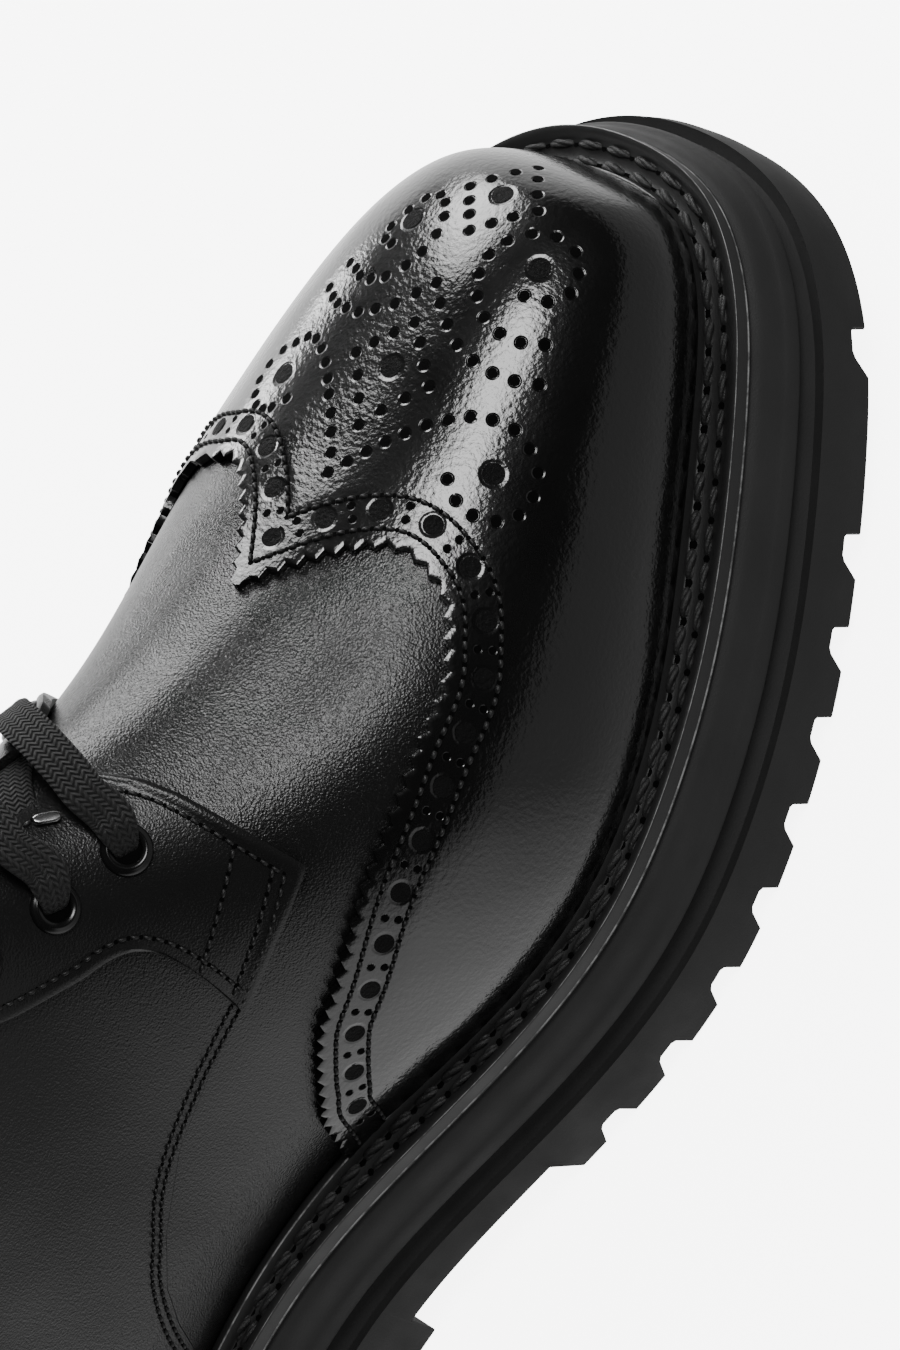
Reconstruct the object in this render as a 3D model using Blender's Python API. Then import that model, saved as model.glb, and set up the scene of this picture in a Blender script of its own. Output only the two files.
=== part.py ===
"""Right ankle boot: wing-tip brogue with open lacing on a lugged rubber unit sole.

Metres, +Z up, toe towards -Y, the outer (lateral) side of the foot towards -X.
"along" always runs from the heel end of the welt (0) to its toe end (WELT_LENGTH).
"""
import bpy
import bmesh
import math
import numpy as np
from mathutils import Matrix, Vector

# Driving sizes of the sole
WELT_LENGTH = 0.302        # welt edge, heel to toe
BALL_WIDTH = 0.1105        # welt edge, widest across the ball
HEEL_WIDTH = 0.073         # welt edge, across the heel
OUTSOLE_THICKNESS = 0.0160
MIDSOLE_THICKNESS = 0.0120
WELT_THICKNESS = 0.0037
HEEL_RISE = 0.0030         # foot bed at the heel above foot bed at the ball
TOE_SPRING = 0.0138        # tread at the toe tip above the floor
SPRING_START = 0.205       # along, where the tread starts to rise
OUTSOLE_FLARE = 0.0080     # tread edge outside the welt edge
MIDSOLE_FLARE = 0.0042     # lower edge of the midsole outside the welt edge
HEEL_BREAST = 0.092        # along, front face of the heel
TREAD_START = 0.130        # along, back edge of the forefoot tread
BREAST_SLOPE = 0.0006      # along, run of the heel's front face
WAIST_SLOPE = 0.0024       # along, run of the step down to the forefoot tread
WAIST_HEIGHT = 0.0080      # underside of the waist above the floor
LUG_DEPTH = 0.0050
LUG_PITCH = 0.0158
LUG_GAP = 0.0042           # channel between lugs, at its floor
LUG_GAP_FLARE = 0.0012     # each wall of a channel leans out by this much
FIRST_LUG_GAP = 0.143
LUG_GAPS = 8
TOE_LUG_GAP = 0.287
HEEL_LUG_GAPS = 4
HEEL_FIRST_GAP = 0.0200
RIDGE_WIDTH = 0.0024       # storm ridge of the welt
RIDGE_HEIGHT = 0.0026
RIDGE_GAP = 0.0034         # open channel between ridge and upper
FEATHER_INSET = 0.0095     # upper inside the welt edge, at the toe
INSOLE_THICKNESS = 0.0034

# Driving sizes of the upper
LAST_LENGTH = 0.2865       # upper, toe to heel back at the feather line
UPPER_WIDTH = 0.100        # upper across the ball
INSTEP_HEIGHT = 0.100      # instep above the feather line
COLLAR_HEIGHT = 0.1665     # front of the collar above the feather line
BACK_HEIGHT = 0.1400       # back of the collar above the feather line
UPPER_WALL = 0.0020
OVERLAY_THICKNESS = 0.0012
THROAT_GAP = 0.0140        # between the two facings
TONGUE_THICKNESS = 0.0026
TONGUE_WIDTH = 0.058
TONGUE_GAP = 0.0012        # between the tongue and the inside of the upper
EYELET_PAIRS = 6
EYELET_PITCH = 0.0170
EYELET_EDGE = 0.0130       # eyelet centre to the inner edge of its facing
EYELET_RADIUS = 0.0047
EYELET_HOLE = 0.0025
EYELET_HEIGHT = 0.0012
EYELET_STAND = 0.00090     # eyelet above its facing, room for the facets of both
EYELET_SKEW = 0.0090       # inner eyelets sit this much nearer the toe
LACE_WIDTH = 0.0084
LACE_THICKNESS = 0.0016
LACE_GAP = 0.0007          # lace above the eyelets
LACE_ARCH = 0.0108         # lace crossings rise this much over the tongue
CLEARANCE = 0.0003         # between neighbouring pieces
SEAM = 0.0001              # merge distance of the booleans and the meshes

# Welt outline: share of WELT_LENGTH, outer and inner half width as shares of the width named,
# and the inset of the upper as a share of FEATHER_INSET.
OUTLINE = (
    # along, outer, inner, width, inset
    (0.000, 0.000, 0.000, HEEL_WIDTH, 0.66),
    (0.013, 0.215, 0.215, HEEL_WIDTH, 0.66),
    (0.046, 0.375, 0.375, HEEL_WIDTH, 0.66),
    (0.106, 0.462, 0.470, HEEL_WIDTH, 0.66),
    (0.199, 0.475, 0.500, HEEL_WIDTH, 0.66),
    (0.305, 0.332, 0.308, BALL_WIDTH, 0.80),
    (0.397, 0.406, 0.290, BALL_WIDTH, 0.95),
    (0.497, 0.505, 0.330, BALL_WIDTH, 0.84),
    (0.596, 0.556, 0.407, BALL_WIDTH, 0.78),
    (0.682, 0.535, 0.462, BALL_WIDTH, 0.84),
    (0.755, 0.490, 0.475, BALL_WIDTH, 1.00),
    (0.828, 0.426, 0.461, BALL_WIDTH, 1.12),
    (0.894, 0.358, 0.409, BALL_WIDTH, 1.12),
    (0.950, 0.281, 0.314, BALL_WIDTH, 1.05),
    (0.987, 0.177, 0.172, BALL_WIDTH, 1.00),
    (1.000, 0.000, 0.000, BALL_WIDTH, 1.00),
)

# Upper: each row is one section, a plane through the X axis' direction from a foot point on the
# feather line or back seam to a front point on the ridge, instep or shaft front.
# foot and front run from the toe as shares of LAST_LENGTH, back climbs the back seam as a share of
# BACK_HEIGHT, level is 0 at the feather line, 1 at the instep and 2 at the collar front, outer
# and inner say how far the walls swell past the feather line as shares of UPPER_WIDTH, widest is
# where on the section that is, and round is the power of its curve.
SECTIONS = (
    # foot, back, front, level, outer, inner, widest, round
    (0.0000, 0.00, 0.0000, 0.000, 0.000, 0.000, 0.30, 2.30),
    (0.0035, 0.00, 0.0031, 0.060, 0.035, 0.035, 0.30, 2.30),
    (0.0125, 0.00, 0.0100, 0.148, 0.050, 0.050, 0.30, 2.30),
    (0.0280, 0.00, 0.0235, 0.242, 0.070, 0.070, 0.29, 2.28),
    (0.0540, 0.00, 0.0490, 0.313, 0.085, 0.085, 0.28, 2.25),
    (0.0925, 0.00, 0.0890, 0.378, 0.100, 0.100, 0.26, 2.20),
    (0.1480, 0.00, 0.1430, 0.436, 0.110, 0.110, 0.24, 2.16),
    (0.2150, 0.00, 0.2060, 0.497, 0.120, 0.120, 0.22, 2.12),
    (0.2840, 0.00, 0.2690, 0.558, 0.125, 0.125, 0.20, 2.08),
    (0.3580, 0.00, 0.3330, 0.627, 0.130, 0.130, 0.19, 2.04),
    (0.4350, 0.00, 0.3960, 0.710, 0.135, 0.138, 0.18, 2.00),
    (0.5150, 0.00, 0.4570, 0.818, 0.145, 0.125, 0.18, 2.00),
    (0.6020, 0.00, 0.5110, 0.944, 0.150, 0.130, 0.21, 2.00),
    (0.6930, 0.00, 0.5550, 1.105, 0.172, 0.160, 0.26, 2.02),
    (0.7840, 0.00, 0.5865, 1.278, 0.192, 0.192, 0.32, 2.05),
    (0.8680, 0.00, 0.6075, 1.428, 0.200, 0.200, 0.38, 2.10),
    (0.9340, 0.00, 0.6200, 1.556, 0.230, 0.225, 0.42, 2.14),
    (0.9790, 0.00, 0.6280, 1.654, 0.315, 0.305, 0.45, 2.17),
    (1.0000, 0.01, 0.6320, 1.729, 0.352, 0.340, 0.47, 2.20),
    (1.0060, 0.16, 0.6350, 1.789, 0.347, 0.337, 0.49, 2.20),
    (1.0020, 0.35, 0.6370, 1.842, 0.342, 0.334, 0.50, 2.20),
    (0.9920, 0.55, 0.6390, 1.887, 0.342, 0.336, 0.51, 2.20),
    (0.9880, 0.75, 0.6400, 1.937, 0.350, 0.346, 0.52, 2.20),
    (0.9920, 1.00, 0.6410, 2.000, 0.365, 0.362, 0.52, 2.20),
    (0.9960, 1.17, 0.6420, 2.190, 0.372, 0.370, 0.52, 2.20),
)
COLLAR_ROW = 23
BACK_SEAM_ROW = 18         # sections from here up start on the back seam
THROAT_ROW = 11.25         # front end of the slot between the facings
TONGUE_ROWS = (10.6, 23.8) # front end of the tongue, under the vamp, and its top
WIDEST_COLUMN = 0.25       # column at which each section is widest

# Edge of the wing cap on each side: column up the section, section row that the cap reaches.
WING_EDGE = (
    # column, row
    (0.00, 12.15), (0.14, 12.12), (0.27, 12.06), (0.36, 11.80), (0.41, 11.40), (0.46, 10.97),
    (0.505, 10.46), (0.54, 9.85), (0.575, 9.12), (0.61, 8.53), (0.66, 8.12), (0.73, 7.88),
    (0.81, 7.88), (0.90, 8.12), (1.00, 8.80),
)

# Facing: section row and how far down from the throat its lower edge lies, as a share of FACING_FOOT.
FACING_FOOT = 0.037        # depth of the facing at its front corner
FACING = (
    # row, depth
    (10.78, 1.00), (11.25, 1.00), (11.75, 0.96), (12.30, 0.70), (13.00, 0.58), (14.00, 0.57),
    (15.50, 0.60), (17.00, 0.62), (19.00, 0.62), (21.00, 0.62), (22.95, 0.62),
)
FACING_SKEW = 0.50         # rows by which the inner facing starts nearer the toe

OUTER, INNER = -1, 1       # sides of the foot, by the sign of X


def spline(knots, values, places):
    """Natural cubic spline through rows of values at the knots, read at the places."""
    knots, values, places = (np.asarray(item, float) for item in (knots, values, places))
    gap = np.diff(knots)
    slope = np.diff(values, axis=0) / gap[:, None]
    count = len(knots)
    system = np.eye(count)
    right = np.zeros_like(values)
    for i in range(1, count - 1):
        system[i, i - 1:i + 2] = gap[i - 1], 2 * (gap[i - 1] + gap[i]), gap[i]
        right[i] = 6 * (slope[i] - slope[i - 1])
    bend = np.linalg.solve(system, right)
    k = np.clip(np.searchsorted(knots, places, side="right") - 1, 0, count - 2)
    before = ((knots[k + 1] - places) / gap[k])[..., None]
    after = 1 - before
    curve = (before**3 - before) * bend[k] + (after**3 - after) * bend[k + 1]
    return before * values[k] + after * values[k + 1] + curve * (gap[k]**2 / 6)[..., None]


def welt_outline(count=720):
    """Dense closed welt edge: along, side (outer is positive), inset and the outward normals."""
    rows = [(a * WELT_LENGTH, o * w, i * w, inset * FEATHER_INSET) for a, o, i, w, inset in OUTLINE]
    outer = [(a, o, inset) for a, o, i, inset in rows]
    inner = [(a, -i, inset) for a, o, i, inset in rows[-2:0:-1]]
    ring = np.array(outer + inner)
    wrap = 4
    loop = np.vstack([ring[-wrap:], ring, ring[:wrap + 1]])
    knots = np.r_[0, np.cumsum(np.linalg.norm(np.diff(loop[:, :2], axis=0), axis=1))]
    places = np.linspace(knots[wrap], knots[wrap + len(ring)], count, endpoint=False)
    curve = spline(knots, loop, places)
    ahead = np.roll(curve, -1, axis=0)[:, :2] - np.roll(curve, 1, axis=0)[:, :2]
    ahead /= np.linalg.norm(ahead, axis=1)[:, None]
    return curve[:, :2], curve[:, 2], np.stack([-ahead[:, 1], ahead[:, 0]], axis=1)


EDGE, INSET, EDGE_NORMAL = welt_outline()


def offset_edge(distance):
    """Welt edge moved outwards by a distance, which may differ from point to point."""
    return EDGE + EDGE_NORMAL * np.broadcast_to(distance, len(EDGE))[:, None]


def half_width(edge, along, side):
    """Half width of a closed edge on one side at the places along it."""
    heel, toe = np.argmin(edge[:, 0]), np.argmax(edge[:, 0])
    turn = np.roll(edge, -heel, axis=0)
    toe = (toe - heel) % len(edge)
    branch = turn[:toe + 1] if side == OUTER else np.vstack([turn[toe:], turn[:1]])[::-1]
    order = np.argsort(branch[:, 0])
    return np.clip(np.interp(along, branch[order, 0], -side * branch[order, 1]), 0, None)


def spring(along):
    """Height of the tread's curve above the floor towards the toe."""
    share = np.clip((along - SPRING_START) / (WELT_LENGTH - SPRING_START), 0, None)
    return TOE_SPRING * share**2


def seat_rise(along):
    """Rise of the foot bed from the ball back to the heel."""
    share = np.clip((SPRING_START - along) / (SPRING_START - HEEL_BREAST / 2), 0, 1)
    return HEEL_RISE * share * share * (3 - 2 * share)


def bed(along, height):
    """Height of a layer of the sole, given its height at the ball."""
    return height + spring(along) + seat_rise(along)


MIDSOLE_BOTTOM = OUTSOLE_THICKNESS + CLEARANCE
MIDSOLE_TOP = MIDSOLE_BOTTOM + MIDSOLE_THICKNESS
WELT_BOTTOM = MIDSOLE_TOP + CLEARANCE
WELT_TOP = WELT_BOTTOM + WELT_THICKNESS
FEATHER = WELT_TOP + 3 * CLEARANCE
OVERLAY_LIFT = OVERLAY_THICKNESS + 4 * CLEARANCE
FEATHER_EDGE = offset_edge(-INSET)
TOE_TIP = FEATHER_EDGE[:, 0].max()


def place(along, side, height):
    """World coordinates of points given as along, side (outer positive) and height."""
    return np.stack([-side, WELT_LENGTH / 2 - along, height], axis=-1)


def section_values(row):
    """The columns of SECTIONS read at real-valued rows."""
    return spline(np.arange(len(SECTIONS)), SECTIONS, row)


def level_height(level):
    """Height above the feather line of a level, 1 at the instep and 2 at the collar."""
    return np.where(level < 1, level * INSTEP_HEIGHT,
                    INSTEP_HEIGHT + (level - 1) * (COLLAR_HEIGHT - INSTEP_HEIGHT))


def upper_point(row, column, side):
    """Outer skin of the upper: column 0 is the foot point and 1 the front point of a section."""
    row, column, side = np.broadcast_arrays(np.asarray(row, float), column, side)
    foot, back, front, level, outer, inner, widest, power = np.moveaxis(section_values(row), -1, 0)
    foot_along = TOE_TIP - foot * LAST_LENGTH
    front_along = TOE_TIP - front * LAST_LENGTH
    foot_height = bed(foot_along, FEATHER) + np.clip(back, 0, None) * BACK_HEIGHT
    front_height = bed(front_along, FEATHER) + level_height(np.clip(level, 0, None))
    feather = np.where(side == OUTER, half_width(FEATHER_EDGE, foot_along, OUTER),
                       half_width(FEATHER_EDGE, foot_along, INNER))
    feather = feather * np.clip((BACK_SEAM_ROW - row) / 0.5, 0, 1)
    swell = np.where(side == OUTER, outer, inner) * UPPER_WIDTH
    width = np.sqrt(feather**2 + swell**2) + 1e-9
    cut = (1 - np.clip(feather / width, 0, 0.9999)**power)**(1 / power)
    low = np.clip(1 - column / WIDEST_COLUMN, 0, 1) * np.arcsin(cut**(power / 2))
    high = np.clip((column - WIDEST_COLUMN) / (1 - WIDEST_COLUMN), 0, 1) * math.pi / 2
    share = np.where(column < WIDEST_COLUMN, widest * (1 - np.sin(low)**(2 / power) / cut),
                     widest + (1 - widest) * np.sin(high)**(2 / power))
    reach = width * np.clip(np.cos(np.where(column < WIDEST_COLUMN, low, high)), 0, 1)**(2 / power)
    along = foot_along + (front_along - foot_along) * share
    height = foot_height + (front_height - foot_height) * share
    return place(along, -side * reach, height)


def upper_skin(row, column, side, lift=0.0):
    """Outer skin of the upper moved outwards by a lift along its normal."""
    row, column, side, lift = np.broadcast_arrays(np.asarray(row, float), column, side, lift)
    step = 0.02
    at_row = np.clip(row, 2 * step, len(SECTIONS) - 1 - step)
    at_column = np.clip(column, 2 * step, 1 - 2 * step)
    with_row = upper_point(at_row + step, at_column, side) - upper_point(at_row - step, at_column, side)
    with_column = upper_point(at_row, at_column + step, side) - upper_point(at_row, at_column - step, side)
    normal = np.cross(with_row, with_column) * side[..., None]
    ridge = column > 1 - 2 * step
    normal[..., 0] = np.where(ridge, normal[..., 0] * (1 - column) / (2 * step), normal[..., 0])
    normal /= np.linalg.norm(normal, axis=-1)[..., None]
    skirt = np.clip(1 - column / WIDEST_COLUMN, 0, 1)
    normal[..., 2] *= 1 - skirt**2
    normal /= np.linalg.norm(normal, axis=-1)[..., None]
    return upper_point(row, column, side) + normal * lift[..., None]


def throat_column(row, half_gap):
    """Column on a section that lies a half gap from the middle plane."""
    columns = np.linspace(WIDEST_COLUMN, 1, 200)
    points = upper_point(np.full(200, float(row)), columns, np.full(200, OUTER))
    return float(np.interp(half_gap, np.abs(points[::-1, 0]), columns[::-1]))


def column_below(row, start, depth, side):
    """Column reached by going down a section from a start column by a depth over its surface."""
    columns = np.linspace(start, 0, 200)
    points = upper_point(np.full(200, float(row)), columns, np.full(200, side))
    travelled = np.r_[0, np.cumsum(np.linalg.norm(np.diff(points, axis=0), axis=1))]
    return float(np.interp(depth, travelled, columns))


def front_row_at(distance):
    """Section row whose front point lies a distance up the instep from the throat."""
    rows = np.linspace(THROAT_ROW, len(SECTIONS) - 1, 400)
    points = upper_point(rows, np.ones(400), np.full(400, OUTER))
    travelled = np.r_[0, np.cumsum(np.linalg.norm(np.diff(points, axis=0), axis=1))]
    return float(np.interp(distance, travelled, rows))


def finish(name, color, roughness, metallic=0.0):
    """Principled material of one piece."""
    material = bpy.data.materials.new(name)
    material.use_nodes = True
    shader = material.node_tree.nodes["Principled BSDF"]
    shader.inputs["Base Color"].default_value = (*color, 1)
    shader.inputs["Roughness"].default_value = roughness
    shader.inputs["Metallic"].default_value = metallic
    return material


def new_collection(name):
    collection = bpy.data.collections.new(name)
    bpy.context.scene.collection.children.link(collection)
    return collection


def add_object(name, points, faces, material, collection):
    """Mesh object from points and faces, its seams welded and its faces pointing out."""
    mesh = bpy.data.meshes.new(name)
    mesh.from_pydata([tuple(p) for p in points], [], faces)
    work = bmesh.new()
    work.from_mesh(mesh)
    bmesh.ops.remove_doubles(work, verts=work.verts, dist=SEAM / 10)
    work.to_mesh(mesh)
    work.free()
    obj = bpy.data.objects.new(name, mesh)
    if material:
        mesh.materials.append(material)
    collection.objects.link(obj)
    return obj


def shade_round(obj, angle=40):
    obj.data.shade_smooth()
    obj.data.set_sharp_from_angle(angle=math.radians(angle))


def shell(name, outside, inside, faces, material, collection):
    """Closed wall between an outer and an inner skin that share one grid, with rims at open edges."""
    keys = np.round(outside / (SEAM / 10)).astype(int)
    unique, index = np.unique(keys, axis=0, return_inverse=True)
    index = index.ravel()
    count = len(unique)
    share = np.bincount(index, minlength=count)[:, None]
    skins = []
    for skin in (outside, inside):
        total = np.stack([np.bincount(index, skin[:, k], count) for k in range(3)], axis=1)
        skins.append(total / share)
    outer_faces = [tuple(dict.fromkeys(int(index[v]) for v in face[::-1])) for face in faces]
    outer_faces = [face for face in outer_faces if len(face) > 2]
    edges = {}
    for face in outer_faces:
        for a, b in zip(face, face[1:] + face[:1]):
            edges[a, b] = edges.get((a, b), 0) + 1
    rims = [(b, a, a + count, b + count) for a, b in edges if (b, a) not in edges]
    inner_faces = [tuple(v + count for v in face[::-1]) for face in outer_faces]
    return add_object(name, np.vstack(skins), outer_faces + inner_faces + rims, material, collection)


def cut_with(obj, cutter):
    boolean = obj.modifiers.new("cut", "BOOLEAN")
    boolean.operation = "DIFFERENCE"
    boolean.solver = "EXACT"
    boolean.object = cutter
    cutter.hide_render = True
    cutter.display_type = "WIRE"


def grid_faces(rows, columns, keep=None):
    """Quads of a grid of points, rows by columns, leaving out those that keep turns down."""
    faces = []
    for r in range(rows - 1):
        for c in range(columns - 1):
            if keep is None or keep(r, c):
                a = r * columns + c
                faces.append((a, a + columns, a + columns + 1, a + 1))
    return faces


def rung_shares(extra=(), count=30):
    """Rungs from heel to toe, closer at both ends, with extra rungs at given shares."""
    even = (1 - np.cos(np.linspace(0, math.pi, count))) / 2
    clear = [s for s in even if all(abs(s - e) > 0.006 for e in extra)]
    return np.array(sorted(clear + list(extra)))


def sole_ring(flare, height_at, shares):
    """Closed ring of a sole layer: heel point, outer side, toe point, inner side."""
    edge = offset_edge(flare)
    start, end = edge[:, 0].min(), edge[:, 0].max()
    along = start + (end - start) * shares
    height = height_at(along)
    outer = place(along, half_width(edge, along, OUTER), height)
    inner = place(along, -half_width(edge, along, INNER), height)
    middle = (outer[[0, -1]] + inner[[0, -1]]) / 2
    return np.vstack([middle[:1], outer[1:-1], middle[1:], inner[-2:0:-1]])


def sole_solid(name, layers, shares, material, collection):
    """Closed sole layer lofted through (flare, height function) rings from the bottom up."""
    rings = [sole_ring(flare, height_at, shares) for flare, height_at in layers]
    size = len(rings[0])
    faces = []
    for level in range(len(rings) - 1):
        for i in range(size):
            j = (i + 1) % size
            low, high = level * size, (level + 1) * size
            faces.append((low + i, low + j, high + j, high + i))
    half = size // 2
    for base, flip in ((0, False), ((len(rings) - 1) * size, True)):
        for i in range(half):
            a, b = i, i + 1
            c, d = (size - i - 1) % size, (size - i) % size
            face = [base + k for k in dict.fromkeys((a, b, c, d))]
            faces.append(tuple(face if flip else face[::-1]))
    return add_object(name, np.vstack(rings), faces, material, collection)


def channel_cutter(start, end, top_start, top_end):
    """Trapezoid bar between two plan points whose top lies at the given heights."""
    run = np.array([end[0] - start[0], end[1] - start[1]])
    aside = np.array([-run[1], run[0]]) / np.linalg.norm(run)
    below = 2 * LUG_DEPTH
    flare = LUG_GAP_FLARE * (1 + below / LUG_DEPTH)
    points = []
    for spot, top in ((start, top_start), (end, top_end)):
        for offset, height in ((LUG_GAP / 2, top), (-LUG_GAP / 2, top),
                               (-LUG_GAP / 2 - flare, top - LUG_DEPTH - below),
                               (LUG_GAP / 2 + flare, top - LUG_DEPTH - below)):
            points.append((*(np.array(spot) + aside * offset), height))
    faces = [(3, 2, 1, 0), (4, 5, 6, 7), (1, 5, 4, 0), (2, 6, 5, 1), (3, 7, 6, 2), (0, 4, 7, 3)]
    return points, faces


def make_tread_cutters(collection):
    """Channels across the tread, each running out past both edges."""
    edge = offset_edge(OUTSOLE_FLARE)
    reach = LUG_DEPTH
    gaps = [FIRST_LUG_GAP + LUG_PITCH * k for k in range(LUG_GAPS)] + [TOE_LUG_GAP]
    gaps += [HEEL_FIRST_GAP + (HEEL_BREAST - HEEL_FIRST_GAP) * k / HEEL_LUG_GAPS
             for k in range(HEEL_LUG_GAPS)]
    cutters = []
    for number, along in enumerate(gaps):
        top = float(spring(along)) + LUG_DEPTH
        outer = float(half_width(edge, along, OUTER)) + reach
        inner = float(half_width(edge, along, INNER)) + reach
        ends = [tuple(place(along, side, top)[:2]) for side in (outer, -inner)]
        points, faces = channel_cutter(ends[0], ends[1], top, top)
        cutters.append(add_object(f"tread_cutter_{number}", points, faces, None, collection))
    return cutters


def make_outsole(collection, cutters, material):
    """Rubber outsole: lugged forefoot, raised waist and heel, its side flaring to the tread."""
    total = WELT_LENGTH + 2 * OUTSOLE_FLARE
    steps = (HEEL_BREAST, HEEL_BREAST + BREAST_SLOPE, TREAD_START, TREAD_START + WAIST_SLOPE)
    shares = rung_shares([(spot + OUTSOLE_FLARE) / total for spot in steps])

    def under(along):
        return np.interp(along, steps, (0, WAIST_HEIGHT, WAIST_HEIGHT, 0)) + spring(along)

    def shoulder(along):
        return bed(along, WAIST_HEIGHT + 2 * CLEARANCE)

    def top(along):
        return bed(along, OUTSOLE_THICKNESS)

    mean = (OUTSOLE_FLARE + MIDSOLE_FLARE) / 2
    outsole = sole_solid("outsole", [
        (OUTSOLE_FLARE, under),
        (OUTSOLE_FLARE, shoulder),
        (mean + CLEARANCE, lambda along: top(along) - CLEARANCE * 4),
        (mean - 4 * CLEARANCE, top),
    ], shares, material, collection)
    for cutter in make_tread_cutters(cutters):
        cut_with(outsole, cutter)
    return outsole


def make_midsole(collection, material):
    """Platform layer whose wall swells towards its lower edge."""
    chamfer = 3 * CLEARANCE

    def at(share):
        return lambda along: bed(along, MIDSOLE_BOTTOM + MIDSOLE_THICKNESS * share)

    return sole_solid("midsole", [
        (MIDSOLE_FLARE - chamfer, at(0)),
        (MIDSOLE_FLARE, lambda along: at(0)(along) + chamfer),
        (MIDSOLE_FLARE * 0.80, at(0.42)),
        (MIDSOLE_FLARE * 0.32, at(0.80)),
        (0.0, at(1)),
    ], rung_shares(), material, collection)


def make_insole(collection, material):
    """Insole board inside the upper, on the midsole."""
    inset = -(INSET + UPPER_WALL + 4 * CLEARANCE)

    def at(height):
        return lambda along: bed(along, height)

    return sole_solid("insole", [
        (inset, at(MIDSOLE_TOP + CLEARANCE)),
        (inset, at(MIDSOLE_TOP + CLEARANCE + INSOLE_THICKNESS)),
    ], rung_shares(), material, collection)


def make_welt(collection, material, count=72):
    """Welt strip round the shoe: flat outer margin, storm ridge, and a seat under the upper."""
    pick = np.linspace(0, len(EDGE), count, endpoint=False).astype(int)
    ridge_in = INSET - RIDGE_GAP
    ridge_out = ridge_in - RIDGE_WIDTH
    hole = INSET + UPPER_WALL + CLEARANCE
    slope = RIDGE_WIDTH / 4
    rim = WELT_THICKNESS / 8
    profile = (
        (0 * INSET, WELT_BOTTOM), (0 * INSET, WELT_TOP - rim), (0 * INSET + rim, WELT_TOP),
        (ridge_out, WELT_TOP), (ridge_out + slope, WELT_TOP + RIDGE_HEIGHT),
        (ridge_in - slope, WELT_TOP + RIDGE_HEIGHT), (ridge_in, WELT_TOP),
        (hole, WELT_TOP), (hole, WELT_BOTTOM),
    )
    rings = []
    for inset, height in profile:
        edge = offset_edge(-inset)[pick]
        rings.append(place(edge[:, 0], edge[:, 1], bed(edge[:, 0], height)))
    points = np.stack(rings, axis=1)
    points = np.concatenate([points, points[:, :1]], axis=1)
    points = np.concatenate([points, points[:1]], axis=0)
    faces = grid_faces(count + 1, len(profile) + 1)
    return add_object("welt", points.reshape(-1, 3), faces, material, collection)


def make_upper(collection, material, below=3, above=7):
    """Vamp, quarters and shaft as one hollow wall, open underneath, at the throat and the collar."""
    rows = np.r_[0, 0.35, 0.7, np.arange(1, 12), THROAT_ROW, np.arange(12, COLLAR_ROW + 1)]
    rows = np.sort(np.r_[rows, np.arange(4, 17) + 0.5])
    low = np.linspace(0, WIDEST_COLUMN, below + 1)[:-1]
    outside, inside = [], []
    for row in rows:
        edge = throat_column(max(row, 1.0), min(THROAT_GAP / 2, 0.35 * half_at(row)))
        column = np.r_[low, np.linspace(WIDEST_COLUMN, edge, above + 1), (1 + edge) / 2, 1]
        for skin, lift in ((outside, 0.0), (inside, -UPPER_WALL)):
            outer = upper_skin(row, column, OUTER, lift)
            inner = upper_skin(row, column, INNER, lift)
            skin.append(np.vstack([outer, inner[-2::-1]]))
    across = outside[0].shape[0]
    slot = range(below + above, across - 1 - below - above)

    def keep(r, c):
        return not (rows[r] >= THROAT_ROW and c in slot)

    faces = grid_faces(len(rows), across, keep)
    upper = shell("upper", np.vstack(outside), np.vstack(inside), faces, material, collection)
    drop_loose(upper)
    shade_round(upper)
    return upper


def half_at(row):
    """Half width of the upper at a section row, on its narrower side."""
    spot = np.array([float(row)])
    widths = [abs(upper_point(spot, np.array([WIDEST_COLUMN]), np.array([side]))[0, 0])
              for side in (OUTER, INNER)]
    return min(widths)


def drop_loose(obj):
    """Remove points that no face uses."""
    work = bmesh.new()
    work.from_mesh(obj.data)
    loose = [v for v in work.verts if not v.link_faces]
    bmesh.ops.delete(work, geom=loose, context="VERTS")
    work.to_mesh(obj.data)
    work.free()


def make_wing_cap(collection, material, steps=13):
    """Winged toe cap over the vamp: from the toe to the wing edge, on both sides."""
    table = np.array(WING_EDGE)
    columns = table[:, 0].copy()
    columns[0] = 0.01
    reach = table[:, 1]
    share = np.r_[0.012, 0.045, np.linspace(0.085, 1, steps)]
    outside, inside = [], []
    for s in share:
        row = s * (reach[-1] + (reach - reach[-1]) * s)
        for skin, lift in ((outside, OVERLAY_LIFT), (inside, OVERLAY_LIFT - OVERLAY_THICKNESS)):
            outer = upper_skin(row, columns, OUTER, lift)
            inner = upper_skin(row, columns, INNER, lift)
            skin.append(np.vstack([outer, inner[-2::-1]]))
    faces = grid_faces(len(share), outside[0].shape[0])
    cap = shell("wing_cap", np.vstack(outside), np.vstack(inside), faces, material, collection)
    shade_round(cap)
    return cap


def facing_rows(side):
    """Rows and depths of a facing, its front end nearer the toe on the inner side."""
    table = np.array(FACING)
    rows = np.unique(np.r_[table[:, 0], np.arange(11, 14, 0.5), np.arange(14, table[-1, 0], 1)])
    depths = np.interp(rows, table[:, 0], table[:, 1])
    share = (rows - rows[0]) / (rows[-1] - rows[0])
    if side == INNER:
        rows = rows - FACING_SKEW * (1 - share)
    return rows, depths * FACING_FOOT


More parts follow.
